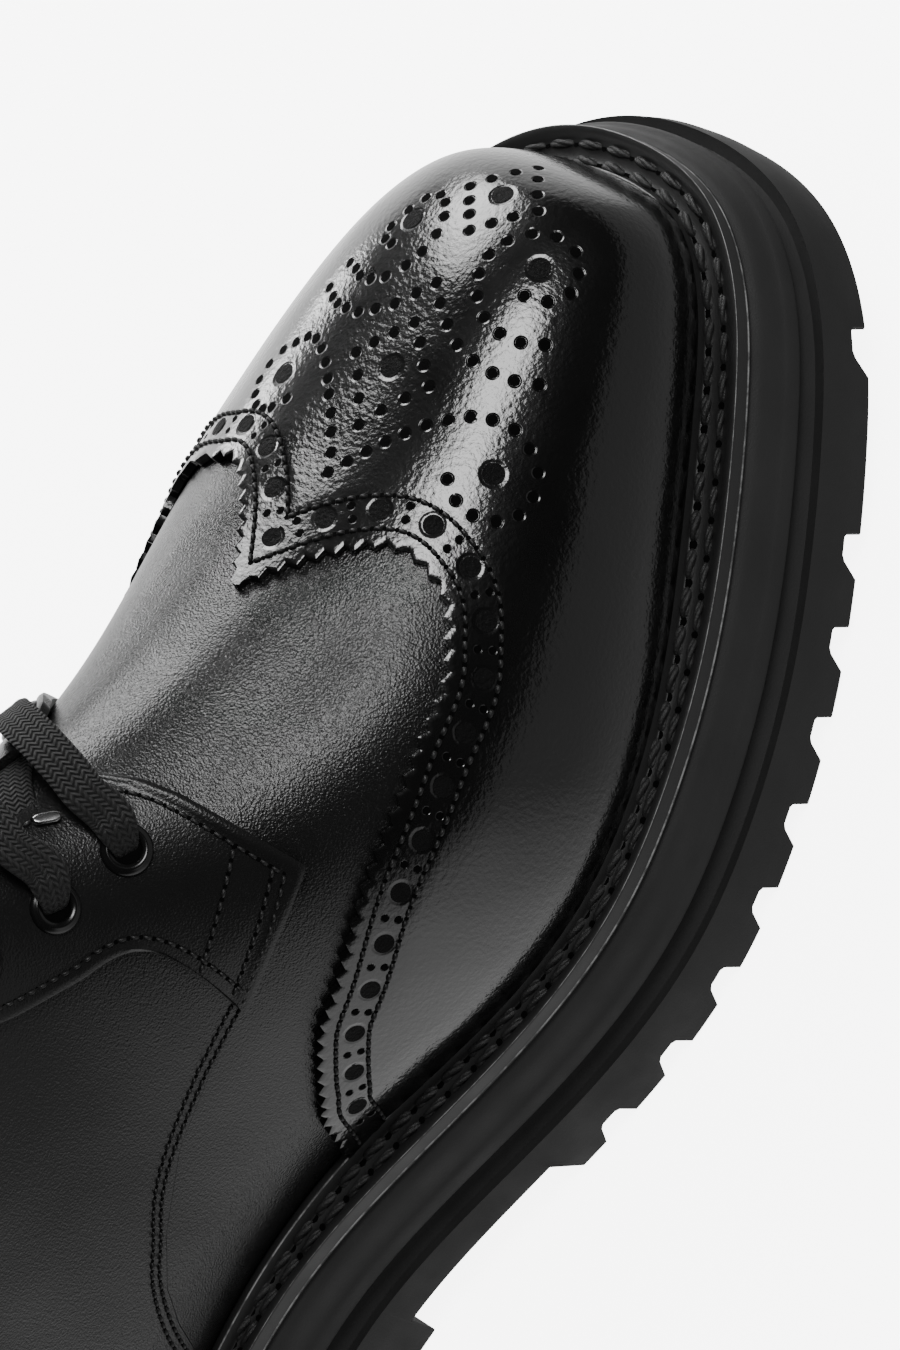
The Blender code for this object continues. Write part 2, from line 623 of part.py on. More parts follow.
def make_facing(name, side, collection, material):
    """Lace facing along one edge of the throat, with the deep front corner of the quarter."""
    rows, depths = facing_rows(side)
    across = 6
    outside, inside = [], []
    for row, depth in zip(rows, depths):
        edge = throat_column(row, THROAT_GAP / 2 + CLEARANCE)
        foot = column_below(row, edge, depth, side)
        column = np.linspace(foot, edge, across)
        for skin, lift in ((outside, OVERLAY_LIFT), (inside, OVERLAY_LIFT - OVERLAY_THICKNESS)):
            skin.append(upper_skin(row, column, side, lift))
    faces = grid_faces(len(rows), across)
    if side == INNER:
        faces = [face[::-1] for face in faces]
    facing = shell(name, np.vstack(outside), np.vstack(inside), faces, material, collection)
    shade_round(facing)
    return facing


def make_tongue(collection, material):
    """Tongue under the throat, from beneath the vamp to above the collar."""
    start, end = TONGUE_ROWS
    rows = np.r_[start, THROAT_ROW, np.arange(12, COLLAR_ROW + 1), (COLLAR_ROW + end) / 2, end]
    half = TONGUE_WIDTH / 2
    across = 4
    top = -(UPPER_WALL + TONGUE_GAP)
    outside, inside = [], []
    for row in rows:
        taper = 1 - 0.25 * max(0.0, row - COLLAR_ROW)
        edge = throat_column(row, min(half, 0.8 * half_at(row)) * taper)
        column = np.linspace(edge, 1, across + 1)
        for skin, lift in ((outside, top), (inside, top - TONGUE_THICKNESS)):
            outer = upper_skin(row, column, OUTER, lift)
            inner = upper_skin(row, column, INNER, lift)
            skin.append(np.vstack([outer, inner[-2::-1]]))
    faces = grid_faces(len(rows), outside[0].shape[0])
    tongue = shell("tongue", np.vstack(outside), np.vstack(inside), faces, material, collection)
    shade_round(tongue)
    return tongue


def eyelet_frames():
    """Centre, outward normal and side of each eyelet, from the front pair to the top pair."""
    frames = []
    first = EYELET_PITCH * 0.35
    for pair in range(EYELET_PAIRS):
        for side in (OUTER, INNER):
            skew = EYELET_SKEW * (1 - pair / (EYELET_PAIRS - 1)) if side == INNER else 0.0
            distance = first + EYELET_PITCH * pair - skew
            row = front_row_at(max(distance, 0.0)) + min(distance, 0.0) / EYELET_PITCH
            edge = throat_column(row, THROAT_GAP / 2)
            column = column_below(row, edge, EYELET_EDGE, side)
            spot, skin = (upper_skin(np.array([row]), np.array([column]), np.array([side]), lift)[0]
                          for lift in (OVERLAY_LIFT, 0.0))
            normal = (spot - skin) / np.linalg.norm(spot - skin)
            frames.append((pair + 1, side, Vector(spot), Vector(normal)))
    return frames


def turn_to(normal):
    return normal.to_track_quat("Z", "Y").to_matrix().to_4x4()


def make_eyelets(collection, material, frames):
    """Enamelled rings on the facings."""
    minor = (EYELET_RADIUS - EYELET_HOLE) / 2
    squash = Matrix.Diagonal((1, 1, EYELET_HEIGHT / 2 / minor, 1))
    turn = Matrix.Rotation(math.radians(45), 4, "Z")
    eyelets = []
    for pair, side, spot, normal in frames:
        bpy.ops.mesh.primitive_torus_add(
            major_radius=(EYELET_RADIUS + EYELET_HOLE) / 2, minor_radius=minor,
            major_segments=10, minor_segments=4)
        ring = bpy.context.object
        ring.name = f"eyelet_{'outer' if side == OUTER else 'inner'}_{pair}"
        seat = spot + normal * (EYELET_STAND + EYELET_HEIGHT / 2)
        ring.data.transform(Matrix.Translation(seat) @ turn_to(normal) @ squash @ turn)
        ring.data.materials.append(material)
        for other in ring.users_collection:
            other.objects.unlink(ring)
        collection.objects.link(ring)
        shade_round(ring)
        eyelets.append(ring)
    return eyelets


def ribbon(path, normals, width, thickness):
    """Points and faces of a flat strip along a path, its broad side facing the normals."""
    path, normals = np.array(path), np.array(normals)
    ahead = np.gradient(path, axis=0)
    ahead /= np.linalg.norm(ahead, axis=1)[:, None]
    aside = np.cross(ahead, normals)
    aside /= np.linalg.norm(aside, axis=1)[:, None]
    up = np.cross(aside, ahead)
    corners = [path + aside * width / 2 * a + up * thickness / 2 * b
               for a, b in ((1, 1), (1, -1), (-1, -1), (-1, 1))]
    points = np.stack(corners, axis=1).reshape(-1, 3)
    faces = []
    for i in range(len(path) - 1):
        for k in range(4):
            a, b = 4 * i + k, 4 * i + (k + 1) % 4
            faces.append((a, b, b + 4, a + 4))
    last = 4 * (len(path) - 1)
    faces += [(3, 2, 1, 0), (last, last + 1, last + 2, last + 3)]
    return points, faces


def lace_bar(start, end, rise):
    """Path and normals of one lace crossing, arched over the tongue between two eyelets."""
    (a, normal_a), (b, normal_b) = start, end
    shares = np.linspace(0, 1, 5)[:, None]
    a, b = np.array(a), np.array(b)
    normal = np.array(normal_a) * (1 - shares) + np.array(normal_b) * shares
    normal /= np.linalg.norm(normal, axis=1)[:, None]
    arch = (1 - (2 * shares - 1)**4) * rise
    return a * (1 - shares) + b * shares + normal * arch, normal


def make_laces(collection, cutters, material, frames):
    """Lace crossings as one solid: a bar over each eyelet pair and a diagonal to the next."""
    lift = EYELET_STAND + EYELET_HEIGHT + LACE_GAP + LACE_THICKNESS / 2
    spots = {(pair, side): (spot + normal * lift, normal) for pair, side, spot, normal in frames}
    bars = []
    for pair in range(1, EYELET_PAIRS + 1):
        bars.append((spots[pair, OUTER], spots[pair, INNER], LACE_ARCH))
        if pair < EYELET_PAIRS:
            bars.append((spots[pair, INNER], spots[pair + 1, OUTER], LACE_ARCH * 0.95))
    laces = None
    for number, (start, end, rise) in enumerate(bars):
        path, normals = lace_bar(start, end, rise)
        points, faces = ribbon(path, normals, LACE_WIDTH, LACE_THICKNESS)
        name = "laces" if laces is None else f"lace_union_{number}"
        strip = add_object(name, points, faces, material, collection if laces is None else cutters)
        if laces is None:
            laces = strip
            continue
        union = laces.modifiers.new("join", "BOOLEAN")
        union.operation = "UNION"
        union.solver = "EXACT"
        union.object = strip
        strip.hide_render = True
        strip.display_type = "WIRE"
    return laces


def build():
    for obj in list(bpy.data.objects):
        bpy.data.objects.remove(obj, do_unlink=True)
    boot = new_collection("ankle boot")
    cutters = new_collection("cutters")
    rubber = finish("moulded rubber", (0.012, 0.012, 0.012), 0.6)
    welt_rubber = finish("welt rubber", (0.014, 0.014, 0.014), 0.55)
    polished = finish("polished leather", (0.008, 0.008, 0.008), 0.15)
    calf = finish("calf leather", (0.010, 0.010, 0.010), 0.4)
    lining = finish("lining leather", (0.02, 0.018, 0.016), 0.6)
    enamel = finish("black enamel", (0.01, 0.01, 0.01), 0.25, 0.4)
    braid = finish("braided lace", (0.012, 0.012, 0.012), 0.85)
    make_outsole(boot, cutters, rubber)
    make_midsole(boot, rubber)
    make_welt(boot, welt_rubber)
    make_insole(boot, lining)
    make_upper(boot, calf)
    make_wing_cap(boot, polished)
    make_facing("facing_outer", OUTER, boot, calf)
    make_facing("facing_inner", INNER, boot, calf)
    make_tongue(boot, calf)
    frames = eyelet_frames()
    make_eyelets(boot, enamel, frames)
    make_laces(boot, cutters, braid, frames)
    side = offset_edge(OUTSOLE_FLARE)[:, 1]
    centre = Matrix.Translation(((side.max() + side.min()) / 2, 0, 0))
    for obj in bpy.data.objects:
        obj.data.transform(centre)


build()
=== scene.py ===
import math
import time
import bpy
import bmesh
import numpy as np
from mathutils import Matrix, Vector


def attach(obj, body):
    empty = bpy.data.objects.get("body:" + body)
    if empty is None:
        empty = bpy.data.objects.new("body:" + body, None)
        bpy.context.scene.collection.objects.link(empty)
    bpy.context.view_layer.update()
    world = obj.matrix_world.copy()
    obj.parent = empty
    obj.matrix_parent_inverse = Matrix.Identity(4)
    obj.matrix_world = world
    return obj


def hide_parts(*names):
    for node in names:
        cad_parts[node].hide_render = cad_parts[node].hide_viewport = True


startTime = time.time()
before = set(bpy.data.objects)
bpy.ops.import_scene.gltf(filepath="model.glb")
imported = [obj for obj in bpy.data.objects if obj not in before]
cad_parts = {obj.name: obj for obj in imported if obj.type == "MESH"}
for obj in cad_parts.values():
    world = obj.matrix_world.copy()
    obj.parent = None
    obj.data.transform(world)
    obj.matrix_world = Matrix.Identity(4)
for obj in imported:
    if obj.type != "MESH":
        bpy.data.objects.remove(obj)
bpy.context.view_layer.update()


def say(stage):
    print(f"{time.time() - startTime:5.1f} s  {stage}")


# Shape of the boot. The CAD model has these sizes, in metres, and the visible surfaces follow them.
boot = dict(
    weltLength=0.302, ballWidth=0.1105, heelWidth=0.073, outsole=0.0160, midsole=0.0120, welt=0.0037,
    heelRise=0.0030, toeSpring=0.0138, springStart=0.205, outsoleFlare=0.0080, midsoleFlare=0.0042,
    heelBreast=0.092, treadStart=0.130, waistHeight=0.0080, featherInset=0.0095, lastLength=0.2865,
    upperWidth=0.100, instepHeight=0.100, collarHeight=0.1665, backHeight=0.1400, clearance=0.0003,
    wall=0.0020, throatGap=0.0140)

# Welt edge: share of its length, outer and inner half width in shares of the ball or heel width, and
# how far the upper stands inside it in shares of featherInset.
outline = (
    (0.000, 0.000, 0.000, "heelWidth", 0.66), (0.013, 0.215, 0.215, "heelWidth", 0.66),
    (0.046, 0.375, 0.375, "heelWidth", 0.66), (0.106, 0.462, 0.470, "heelWidth", 0.66),
    (0.199, 0.475, 0.500, "heelWidth", 0.66), (0.305, 0.332, 0.308, "ballWidth", 0.80),
    (0.397, 0.406, 0.290, "ballWidth", 0.95), (0.497, 0.505, 0.330, "ballWidth", 0.84),
    (0.596, 0.556, 0.407, "ballWidth", 0.78), (0.682, 0.535, 0.462, "ballWidth", 0.84),
    (0.755, 0.490, 0.475, "ballWidth", 1.00), (0.828, 0.426, 0.461, "ballWidth", 1.12),
    (0.894, 0.358, 0.409, "ballWidth", 1.12), (0.950, 0.281, 0.314, "ballWidth", 1.05),
    (0.987, 0.177, 0.172, "ballWidth", 1.00), (1.000, 0.000, 0.000, "ballWidth", 1.00))

# Sections of the upper: place of the foot point, its climb up the back seam, place of the front point
# and its level (1 instep, 2 collar), swell of the outer and the inner wall, place of the widest point,
# and power of the curve. Foot and front are shares of lastLength from the toe.
sections = (
    (0, 0, 0, 0, 0, 0, 0.30, 2.30),
    (0.0035, 0, 0.0031, 0.060, 0.035, 0.035, 0.30, 2.30),
    (0.0125, 0, 0.0100, 0.148, 0.050, 0.050, 0.30, 2.30),
    (0.0280, 0, 0.0235, 0.242, 0.070, 0.070, 0.29, 2.28),
    (0.0540, 0, 0.0490, 0.313, 0.085, 0.085, 0.28, 2.25),
    (0.0925, 0, 0.0890, 0.378, 0.100, 0.100, 0.26, 2.20),
    (0.1480, 0, 0.1430, 0.436, 0.110, 0.110, 0.24, 2.16),
    (0.2150, 0, 0.2060, 0.497, 0.120, 0.120, 0.22, 2.12),
    (0.2840, 0, 0.2690, 0.558, 0.125, 0.125, 0.20, 2.08),
    (0.3580, 0, 0.3330, 0.627, 0.130, 0.130, 0.19, 2.04),
    (0.4350, 0, 0.3960, 0.710, 0.135, 0.138, 0.18, 2.00),
    (0.5150, 0, 0.4570, 0.818, 0.145, 0.125, 0.18, 2.00),
    (0.6020, 0, 0.5110, 0.944, 0.150, 0.130, 0.21, 2.00),
    (0.6930, 0, 0.5550, 1.105, 0.172, 0.160, 0.26, 2.02),
    (0.7840, 0, 0.5865, 1.278, 0.192, 0.192, 0.32, 2.05),
    (0.8680, 0, 0.6075, 1.428, 0.200, 0.200, 0.38, 2.10),
    (0.9340, 0, 0.6200, 1.556, 0.230, 0.225, 0.42, 2.14),
    (0.9790, 0, 0.6280, 1.654, 0.315, 0.305, 0.45, 2.17),
    (1.0000, 0.01, 0.6320, 1.729, 0.352, 0.340, 0.47, 2.20),
    (1.0060, 0.16, 0.6350, 1.789, 0.347, 0.337, 0.49, 2.20),
    (1.0020, 0.35, 0.6370, 1.842, 0.342, 0.334, 0.50, 2.20),
    (0.9920, 0.55, 0.6390, 1.887, 0.342, 0.336, 0.51, 2.20),
    (0.9880, 0.75, 0.6400, 1.937, 0.350, 0.346, 0.52, 2.20),
    (0.9920, 1.00, 0.6410, 2.000, 0.365, 0.362, 0.52, 2.20),
    (0.9960, 1.17, 0.6420, 2.190, 0.372, 0.370, 0.52, 2.20))
collarRow, backSeamRow, throatRow, widest = 23, 18, 11.25, 0.25


# Natural cubic spline through rows of values, read at any places.
def spline(knots, values, places):
    knots, values, places = (np.asarray(item, float) for item in (knots, values, places))
    gap = np.diff(knots)
    slope = np.diff(values, axis=0) / gap[:, None]
    count = len(knots)
    system = np.eye(count)
    inner = np.arange(1, count - 1)
    system[inner, inner - 1] = gap[:-1]
    system[inner, inner] = 2 * (gap[:-1] + gap[1:])
    system[inner, inner + 1] = gap[1:]
    right = np.zeros_like(values)
    right[1:-1] = 6 * np.diff(slope, axis=0)
    bend = np.linalg.solve(system, right)
    k = np.clip(np.searchsorted(knots, places, side="right") - 1, 0, count - 2)
    before = ((knots[k + 1] - places) / gap[k])[..., None]
    after = 1 - before
    curve = (before**3 - before) * bend[k] + (after**3 - after) * bend[k + 1]
    return before * values[k] + after * values[k + 1] + curve * (gap[k]**2 / 6)[..., None]


# Closed welt edge as along and side, the inset of the upper, and its outward normals.
def weltEdge(count=2400):
    rows = [(a * boot["weltLength"], o * boot[w], i * boot[w], n * boot["featherInset"])
            for a, o, i, w, n in outline]
    ring = np.array([(a, o, n) for a, o, i, n in rows] + [(a, -i, n) for a, o, i, n in rows[-2:0:-1]])
    wrap = 4
    loop = np.vstack([ring[-wrap:], ring, ring[:wrap + 1]])
    knots = np.r_[0, np.cumsum(np.linalg.norm(np.diff(loop[:, :2], axis=0), axis=1))]
    curve = spline(knots, loop, np.linspace(knots[wrap], knots[wrap + len(ring)], count, endpoint=False))
    step = np.linalg.norm(np.diff(np.vstack([curve, curve[:1]])[:, :2], axis=0), axis=1)
    run = np.r_[0, np.cumsum(step)]
    even = np.linspace(0, run[-1], count, endpoint=False)
    curve = np.stack([np.interp(even, run, np.r_[curve[:, k], curve[:1, k]]) for k in range(3)], axis=1)
    ahead = np.roll(curve, -1, axis=0)[:, :2] - np.roll(curve, 1, axis=0)[:, :2]
    ahead /= np.linalg.norm(ahead, axis=1)[:, None]
    return curve[:, :2], curve[:, 2], np.stack([-ahead[:, 1], ahead[:, 0]], axis=1)


edge, inset, edgeNormal = weltEdge()


def offsetEdge(distance, pick=slice(None)):
    return (edge + edgeNormal * np.broadcast_to(distance, len(edge))[:, None])[pick]


def halfWidth(ring, along, side, signed=False):
    heel, toe = np.argmin(ring[:, 0]), np.argmax(ring[:, 0])
    turn = np.roll(ring, -heel, axis=0)
    toe = (toe - heel) % len(ring)
    branch = turn[:toe + 1] if side < 0 else np.vstack([turn[toe:], turn[:1]])[::-1]
    order = np.argsort(branch[:, 0])
    width = np.interp(along, branch[order, 0], -side * branch[order, 1])
    return width if signed else np.clip(width, 0, None)


def springAt(along):
    share = np.clip((along - boot["springStart"]) / (boot["weltLength"] - boot["springStart"]), 0, None)
    return boot["toeSpring"] * share**2


def bed(along, height):
    share = np.clip((boot["springStart"] - along) / (boot["springStart"] - boot["heelBreast"] / 2), 0, 1)
    return height + springAt(along) + boot["heelRise"] * share * share * (3 - 2 * share)


midsoleBottom = boot["outsole"] + boot["clearance"]
midsoleTop = midsoleBottom + boot["midsole"]
weltBottom = midsoleTop + boot["clearance"]
weltTop = weltBottom + boot["welt"]
feather = weltTop + 3 * boot["clearance"]
featherEdge = offsetEdge(-inset)
toeTip = featherEdge[:, 0].max()
treadSide = offsetEdge(boot["outsoleFlare"])[:, 1]
middle = (treadSide.max() + treadSide.min()) / 2


def place(along, side, height):
    along, side, height = np.broadcast_arrays(along, side, height)
    return np.stack([middle - side, boot["weltLength"] / 2 - along, height], axis=-1)


# Outer skin of the upper. row runs over the sections from the toe to the collar; across runs from -1
# at the outer feather line over 0 on the ridge to 1 at the inner feather line. A section climbs in a
# plane from its foot to its front. Its half width is a curve of the kind cos^(2/power): below the
# widest point it narrows to the feather line, above it it closes over the ridge.
def upperPoint(row, across):
    row, across = np.broadcast_arrays(np.asarray(row, float), across)
    side = np.where(across < 0, -1, 1)
    column = 1 - np.abs(across)
    foot, back, front, level, outer, inner, wide, power = np.moveaxis(
        spline(np.arange(len(sections)), sections, row), -1, 0)
    footAlong = toeTip - foot * boot["lastLength"]
    frontAlong = toeTip - front * boot["lastLength"]
    level = np.clip(level, 0, None)
    rise = np.where(level < 1, level * boot["instepHeight"],
                    boot["instepHeight"] + (level - 1) * (boot["collarHeight"] - boot["instepHeight"]))
    footHeight = bed(footAlong, feather) + np.clip(back, 0, None) * boot["backHeight"]
    frontHeight = bed(frontAlong, feather) + rise
    inside = np.where(side < 0, halfWidth(featherEdge, footAlong, -1), halfWidth(featherEdge, footAlong, 1))
    inside = inside * np.clip((backSeamRow - row) / 0.5, 0, 1)
    swell = np.where(side < 0, outer, inner) * boot["upperWidth"]
    width = np.sqrt(inside**2 + swell**2) + 1e-9
    cut = (1 - np.clip(inside / width, 0, 0.9999)**power)**(1 / power)
    low = np.clip(1 - column / widest, 0, 1) * np.arcsin(cut**(power / 2))
    high = np.clip((column - widest) / (1 - widest), 0, 1) * math.pi / 2
    share = np.where(column < widest, wide * (1 - np.sin(low)**(2 / power) / cut),
                     wide + (1 - wide) * np.sin(high)**(2 / power))
    reach = width * np.clip(np.cos(np.where(column < widest, low, high)), 0, 1)**(2 / power)
    along = footAlong + (frontAlong - footAlong) * share
    height = footHeight + (frontHeight - footHeight) * share
    return place(along, -side * reach, height)


# The outer skin moved outwards along its normal. Down towards the feather line the normal turns level,
# so that an overlay doesn't sink into the welt.
def skin(row, across, lift=0.0, step=0.02):
    row, across, lift = np.broadcast_arrays(np.asarray(row, float), across, lift)
    atRow = np.clip(row, 2 * step, len(sections) - 1 - step)
    atAcross = np.clip(across, -1 + 2 * step, 1 - 2 * step)
    withRow = upperPoint(atRow + step, atAcross) - upperPoint(atRow - step, atAcross)
    withAcross = upperPoint(atRow, atAcross + step) - upperPoint(atRow, atAcross - step)
    normal = np.cross(withAcross, withRow)
    normal /= np.linalg.norm(normal, axis=-1)[..., None]
    skirt = np.clip(1 - (1 - np.abs(across)) / widest, 0, 1)
    normal[..., 2] *= 1 - skirt**2
    normal /= np.linalg.norm(normal, axis=-1)[..., None]
    return upperPoint(row, across) + normal * lift[..., None]


# Points on the lifted skin with the directions out of it.
def onSkin(row, across, lift):
    path = skin(row, across, lift)
    normal = skin(row, across, lift + 0.001) - path
    return path, normal / np.linalg.norm(normal, axis=1)[:, None]


# Lines beside a path on the skin, from the path itself to a given distance to its left, in even
# steps: rows and places across, one line of them for each step.
def marchBeside(row, across, distance, steps):
    small = 0.01
    ahead = np.gradient(upperPoint(row, across), axis=0)
    rows, places = [row], [across]
    for _ in range(steps):
        atRow = np.clip(row, small, len(sections) - 1.5)
        atAcross = np.clip(across, -1 + small, 1 - small)
        withRow = (upperPoint(atRow + small, atAcross) - upperPoint(atRow - small, atAcross)) / (2 * small)
        withAcross = (upperPoint(atRow, atAcross + small)
                      - upperPoint(atRow, atAcross - small)) / (2 * small)
        aside = np.cross(np.cross(withAcross, withRow), ahead)
        aside /= np.linalg.norm(aside, axis=-1)[..., None]
        a, b, c = ((u * v).sum(-1) for u, v in
                   ((withRow, withRow), (withRow, withAcross), (withAcross, withAcross)))
        p, q = (withRow * aside).sum(-1), (withAcross * aside).sum(-1)
        share = a * c - b * b
        row = row + (p * c - q * b) / share * distance / steps
        across = across + (q * a - p * b) / share * distance / steps
        rows.append(row)
        places.append(across)
    return np.array(rows), np.array(places)


# Path through given points, evenly spaced on the skin: rows, places across and its length.
def evenPath(points, count, smooth=True):
    points = np.array(points, float)
    knots = np.r_[0, np.cumsum(np.linalg.norm(np.diff(points * (1, 12), axis=0), axis=1))]
    fine = np.linspace(0, knots[-1], 1500)
    curve = spline(knots, points, fine) if smooth else readAt(fine, knots, points)
    along = skin(curve[:, 0], curve[:, 1])
    run = np.r_[0, np.cumsum(np.linalg.norm(np.diff(along, axis=0), axis=1))]
    even = np.linspace(0, run[-1], count)
    return np.interp(even, run, curve[:, 0]), np.interp(even, run, curve[:, 1]), run[-1]


# Rows of values along a path, read at given distances.
def readAt(at, run, values):
    return np.stack([np.interp(at, run, column) for column in values.T], axis=1)


say("shape ready")


def gridQuads(rows, columns, closed=False, start=0):
    r, c = np.meshgrid(np.arange(rows - 1), np.arange(columns if closed else columns - 1), indexing="ij")
    n = (c + 1) % columns
    near, far = r * columns, (r + 1) * columns
    return start + np.stack([near + c, near + n, far + n, far + c], axis=-1).reshape(-1, 4)


# The quads of one small shape, for many of them one after the other.
def repeated(quads, count, size):
    return (quads[None] + (np.arange(count) * size)[:, None, None]).reshape(-1, 4)


# Quads across one ring of an even number of points, to close it.
def crossQuads(around, start=0):
    k = np.arange(around // 2 - 1)
    return start + np.stack([k, k + 1, around - 2 - k, around - 1 - k], axis=1)


# A tube of rings, closed at both ends.
def tubeQuads(rings, around, start=0):
    ends = crossQuads(around, start)[:, ::-1], crossQuads(around, start + (rings - 1) * around)
    return np.concatenate([gridQuads(rings, around, closed=True, start=start), *ends])


# Faces of a closed surface turned so that their normals point out of the volume it holds.
def outwards(points, quads):
    a, b, c, d = (points[quads[:, k]] - points.mean(axis=0) for k in range(4))
    volume = (np.cross(b - a, c - a) * a).sum() + (np.cross(c - a, d - a) * a).sum()
    return quads if volume >= 0 else quads[:, ::-1]


# A finished piece from points and quads. One that isn't solid keeps its faces' direction.
def newPiece(name, points, quads, material, replaces, slot, weld=0.0, solid=True):
    mesh = bpy.data.meshes.new(name)
    points = np.ascontiguousarray(points, np.float32).reshape(-1, 3)
    quads = np.ascontiguousarray(outwards(points.astype(float), quads) if solid else quads, np.int32)
    mesh.vertices.add(len(points))
    mesh.vertices.foreach_set("co", points.ravel())
    mesh.loops.add(quads.size)
    mesh.loops.foreach_set("vertex_index", quads.ravel())
    mesh.polygons.add(len(quads))
    mesh.polygons.foreach_set("loop_start", np.arange(0, quads.size, 4, dtype=np.int32))
    mesh.update(calc_edges=True)
    if weld:
        work = bmesh.new()
        work.from_mesh(mesh)
        bmesh.ops.remove_doubles(work, verts=work.verts, dist=weld)
        work.to_mesh(mesh)
        work.free()
    mesh.validate()
    mesh.polygons.foreach_set("use_smooth", np.ones(len(mesh.polygons), bool))
    piece = bpy.data.objects.new(name, mesh)
    bpy.context.scene.collection.objects.link(piece)
    mesh.materials.append(material)
    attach(piece, "root")
    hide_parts(*replaces)
    return piece


# A closed sheet between two skins on one grid, its cut edges rounded.
def sheet(name, top, bottom, material, rounding=0.0003, segments=2, **settings):
    rows, columns = top.shape[:2]
    count = rows * columns
    index = np.arange(count).reshape(rows, columns)
    rim = np.concatenate([index[0], index[1:, -1], index[-1, -2::-1], index[-2:0:-1, 0]])
    after = np.roll(rim, -1)
    quads = gridQuads(rows, columns)
    quads = np.concatenate([quads, quads[:, ::-1] + count,
                            np.stack([after, rim, rim + count, after + count], axis=1)])
    points = np.concatenate([top.reshape(-1, 3), bottom.reshape(-1, 3)])
    piece = newPiece(name, points, quads, material, weld=1e-6, **settings)
    piece.data.set_sharp_from_angle(angle=math.radians(50))
    if rounding:
        bevel = piece.modifiers.new("rounded edges", "BEVEL")
        bevel.width = rounding
        bevel.segments = segments
        bevel.limit_method = "ANGLE"
        bevel.angle_limit = math.radians(50)
    return piece


# One merged mesh of stitches, each a bent thread between two needle holes. With t from -1 to 1 along a
# stitch, its girth is the root of 1 - t^4 and it stands up by rise times 1 - t^2. A thick thread is laid
# of several yarns that turn round one another.
def makeStitches(name, paths, material, pitch, length, width, rise, hole, rings=5, around=6, shift=0.0,
                 yarns=1, twist=0.0, **settings):
    t = np.linspace(-1, 1, rings + 2)
    girth = np.sqrt(np.clip(1 - np.abs(t)**4, 0.02, 1))
    angle = np.linspace(0, 2 * math.pi, around, endpoint=False)
    thick = width / 2 * (1 if yarns == 1 else 0.62)
    offset = (width / 2 - thick) * girth
    stand = rise * (1 - t**2) - width * 0.25
    local = []
    for yarn in range(yarns):
        phase = 2 * math.pi * yarn / yarns + math.pi * twist * t
        local.append(np.stack([
            np.broadcast_to(t[:, None] * length / 2, (rings + 2, around)),
            girth[:, None] * np.cos(angle) * thick + (offset * np.cos(phase))[:, None],
            girth[:, None] * np.sin(angle) * thick + (offset * np.sin(phase) + stand)[:, None]],
            axis=-1).reshape(-1, 3))
    local = np.concatenate(local)
    # Each needle hole gets a small dark disc of painted shade.
    turn = np.linspace(0, 2 * math.pi, 8, endpoint=False)
    disc = np.stack([np.cos(turn), np.sin(turn)], axis=1) * hole
    threads, holes = [], []
    for path, normal in paths:
        run = np.r_[0, np.cumsum(np.linalg.norm(np.diff(path, axis=0), axis=1))]
        count = int(run[-1] / pitch)
        centres = (np.arange(count) + 0.5 + shift) * run[-1] / count
        centres = centres[centres < run[-1]]
        spot, up = readAt(centres, run, path), readAt(centres, run, normal)
        ahead = readAt(centres + length / 3, run, path) - readAt(centres - length / 3, run, path)
        ahead /= np.linalg.norm(ahead, axis=1)[:, None]
        aside = np.cross(up, ahead)
        aside /= np.linalg.norm(aside, axis=1)[:, None]
        up = np.cross(ahead, aside)
        axes = np.stack([ahead, aside, up], axis=1)
        threads.append(spot[:, None, :] + np.einsum("vk,nkd->nvd", local, axes))
        ends = readAt(centres - run[-1] / count / 2, run, path) + up * 0.00004
        holes.append(ends[:, None] + np.einsum("vk,nkd->nvd", disc, axes[:, :2]))
    points = np.concatenate(threads)
    base = np.concatenate([tubeQuads(rings + 2, around, yarn * (rings + 2) * around)
                           for yarn in range(yarns)])
    newPiece(name, points, repeated(base, *points.shape[:2]), material, **settings)
    # The needle hole discs: painted shade just proud of the leather.
    points = np.concatenate(holes)
    newPiece(name + "_hole_shade", points, repeated(crossQuads(8), len(points), 8), paintedHoleShade, solid=False,
             **settings)


def linear(code):
    channels = [int(code[i:i + 2], 16) / 255 for i in (1, 3, 5)]
    return tuple(c / 12.92 if c <= 0.04045 else ((c + 0.055) / 1.055)**2.4 for c in channels) + (1.0,)


# Inputs of a node, each a fixed value or the result of another node.
def feed(tree, node, inputs):
    for key, value in inputs.items():
        if isinstance(value, bpy.types.NodeSocket):
            tree.links.new(value, node.inputs[key])
        else:
            node.inputs[key].default_value = value


def addNode(tree, kind, inputs=None, **settings):
    node = tree.nodes.new(kind)
    for key, value in settings.items():
        setattr(node, key, value)
    feed(tree, node, inputs or {})
    return node


def newMaterial(name):
    material = bpy.data.materials.new(name)
    material.use_nodes = True
    tree = material.node_tree
    tree.nodes.clear()
    shader = addNode(tree, "ShaderNodeBsdfPrincipled")
    addNode(tree, "ShaderNodeOutputMaterial", {"Surface": shader.outputs[0]})
    where = addNode(tree, "ShaderNodeTexCoord").outputs["Object"]
    return material, tree, shader, where


def maths(tree, operation, *values):
    return addNode(tree, "ShaderNodeMath", dict(enumerate(values)), operation=operation).outputs[0]


# Noise read at a feature size in metres.
def noise(tree, where, feature, detail=2.0, roughness=0.5):
    return addNode(tree, "ShaderNodeTexNoise", {"Vector": where, "Scale": 1 / feature, "Detail": detail,
                                                "Roughness": roughness}).outputs["Fac"]


def remap(tree, value, low, high, toLow, toHigh, kind="LINEAR"):
    inputs = {"Value": value, "From Min": low, "From Max": high, "To Min": toLow, "To Max": toHigh}
    return addNode(tree, "ShaderNodeMapRange", inputs, interpolation_type=kind).outputs["Result"]


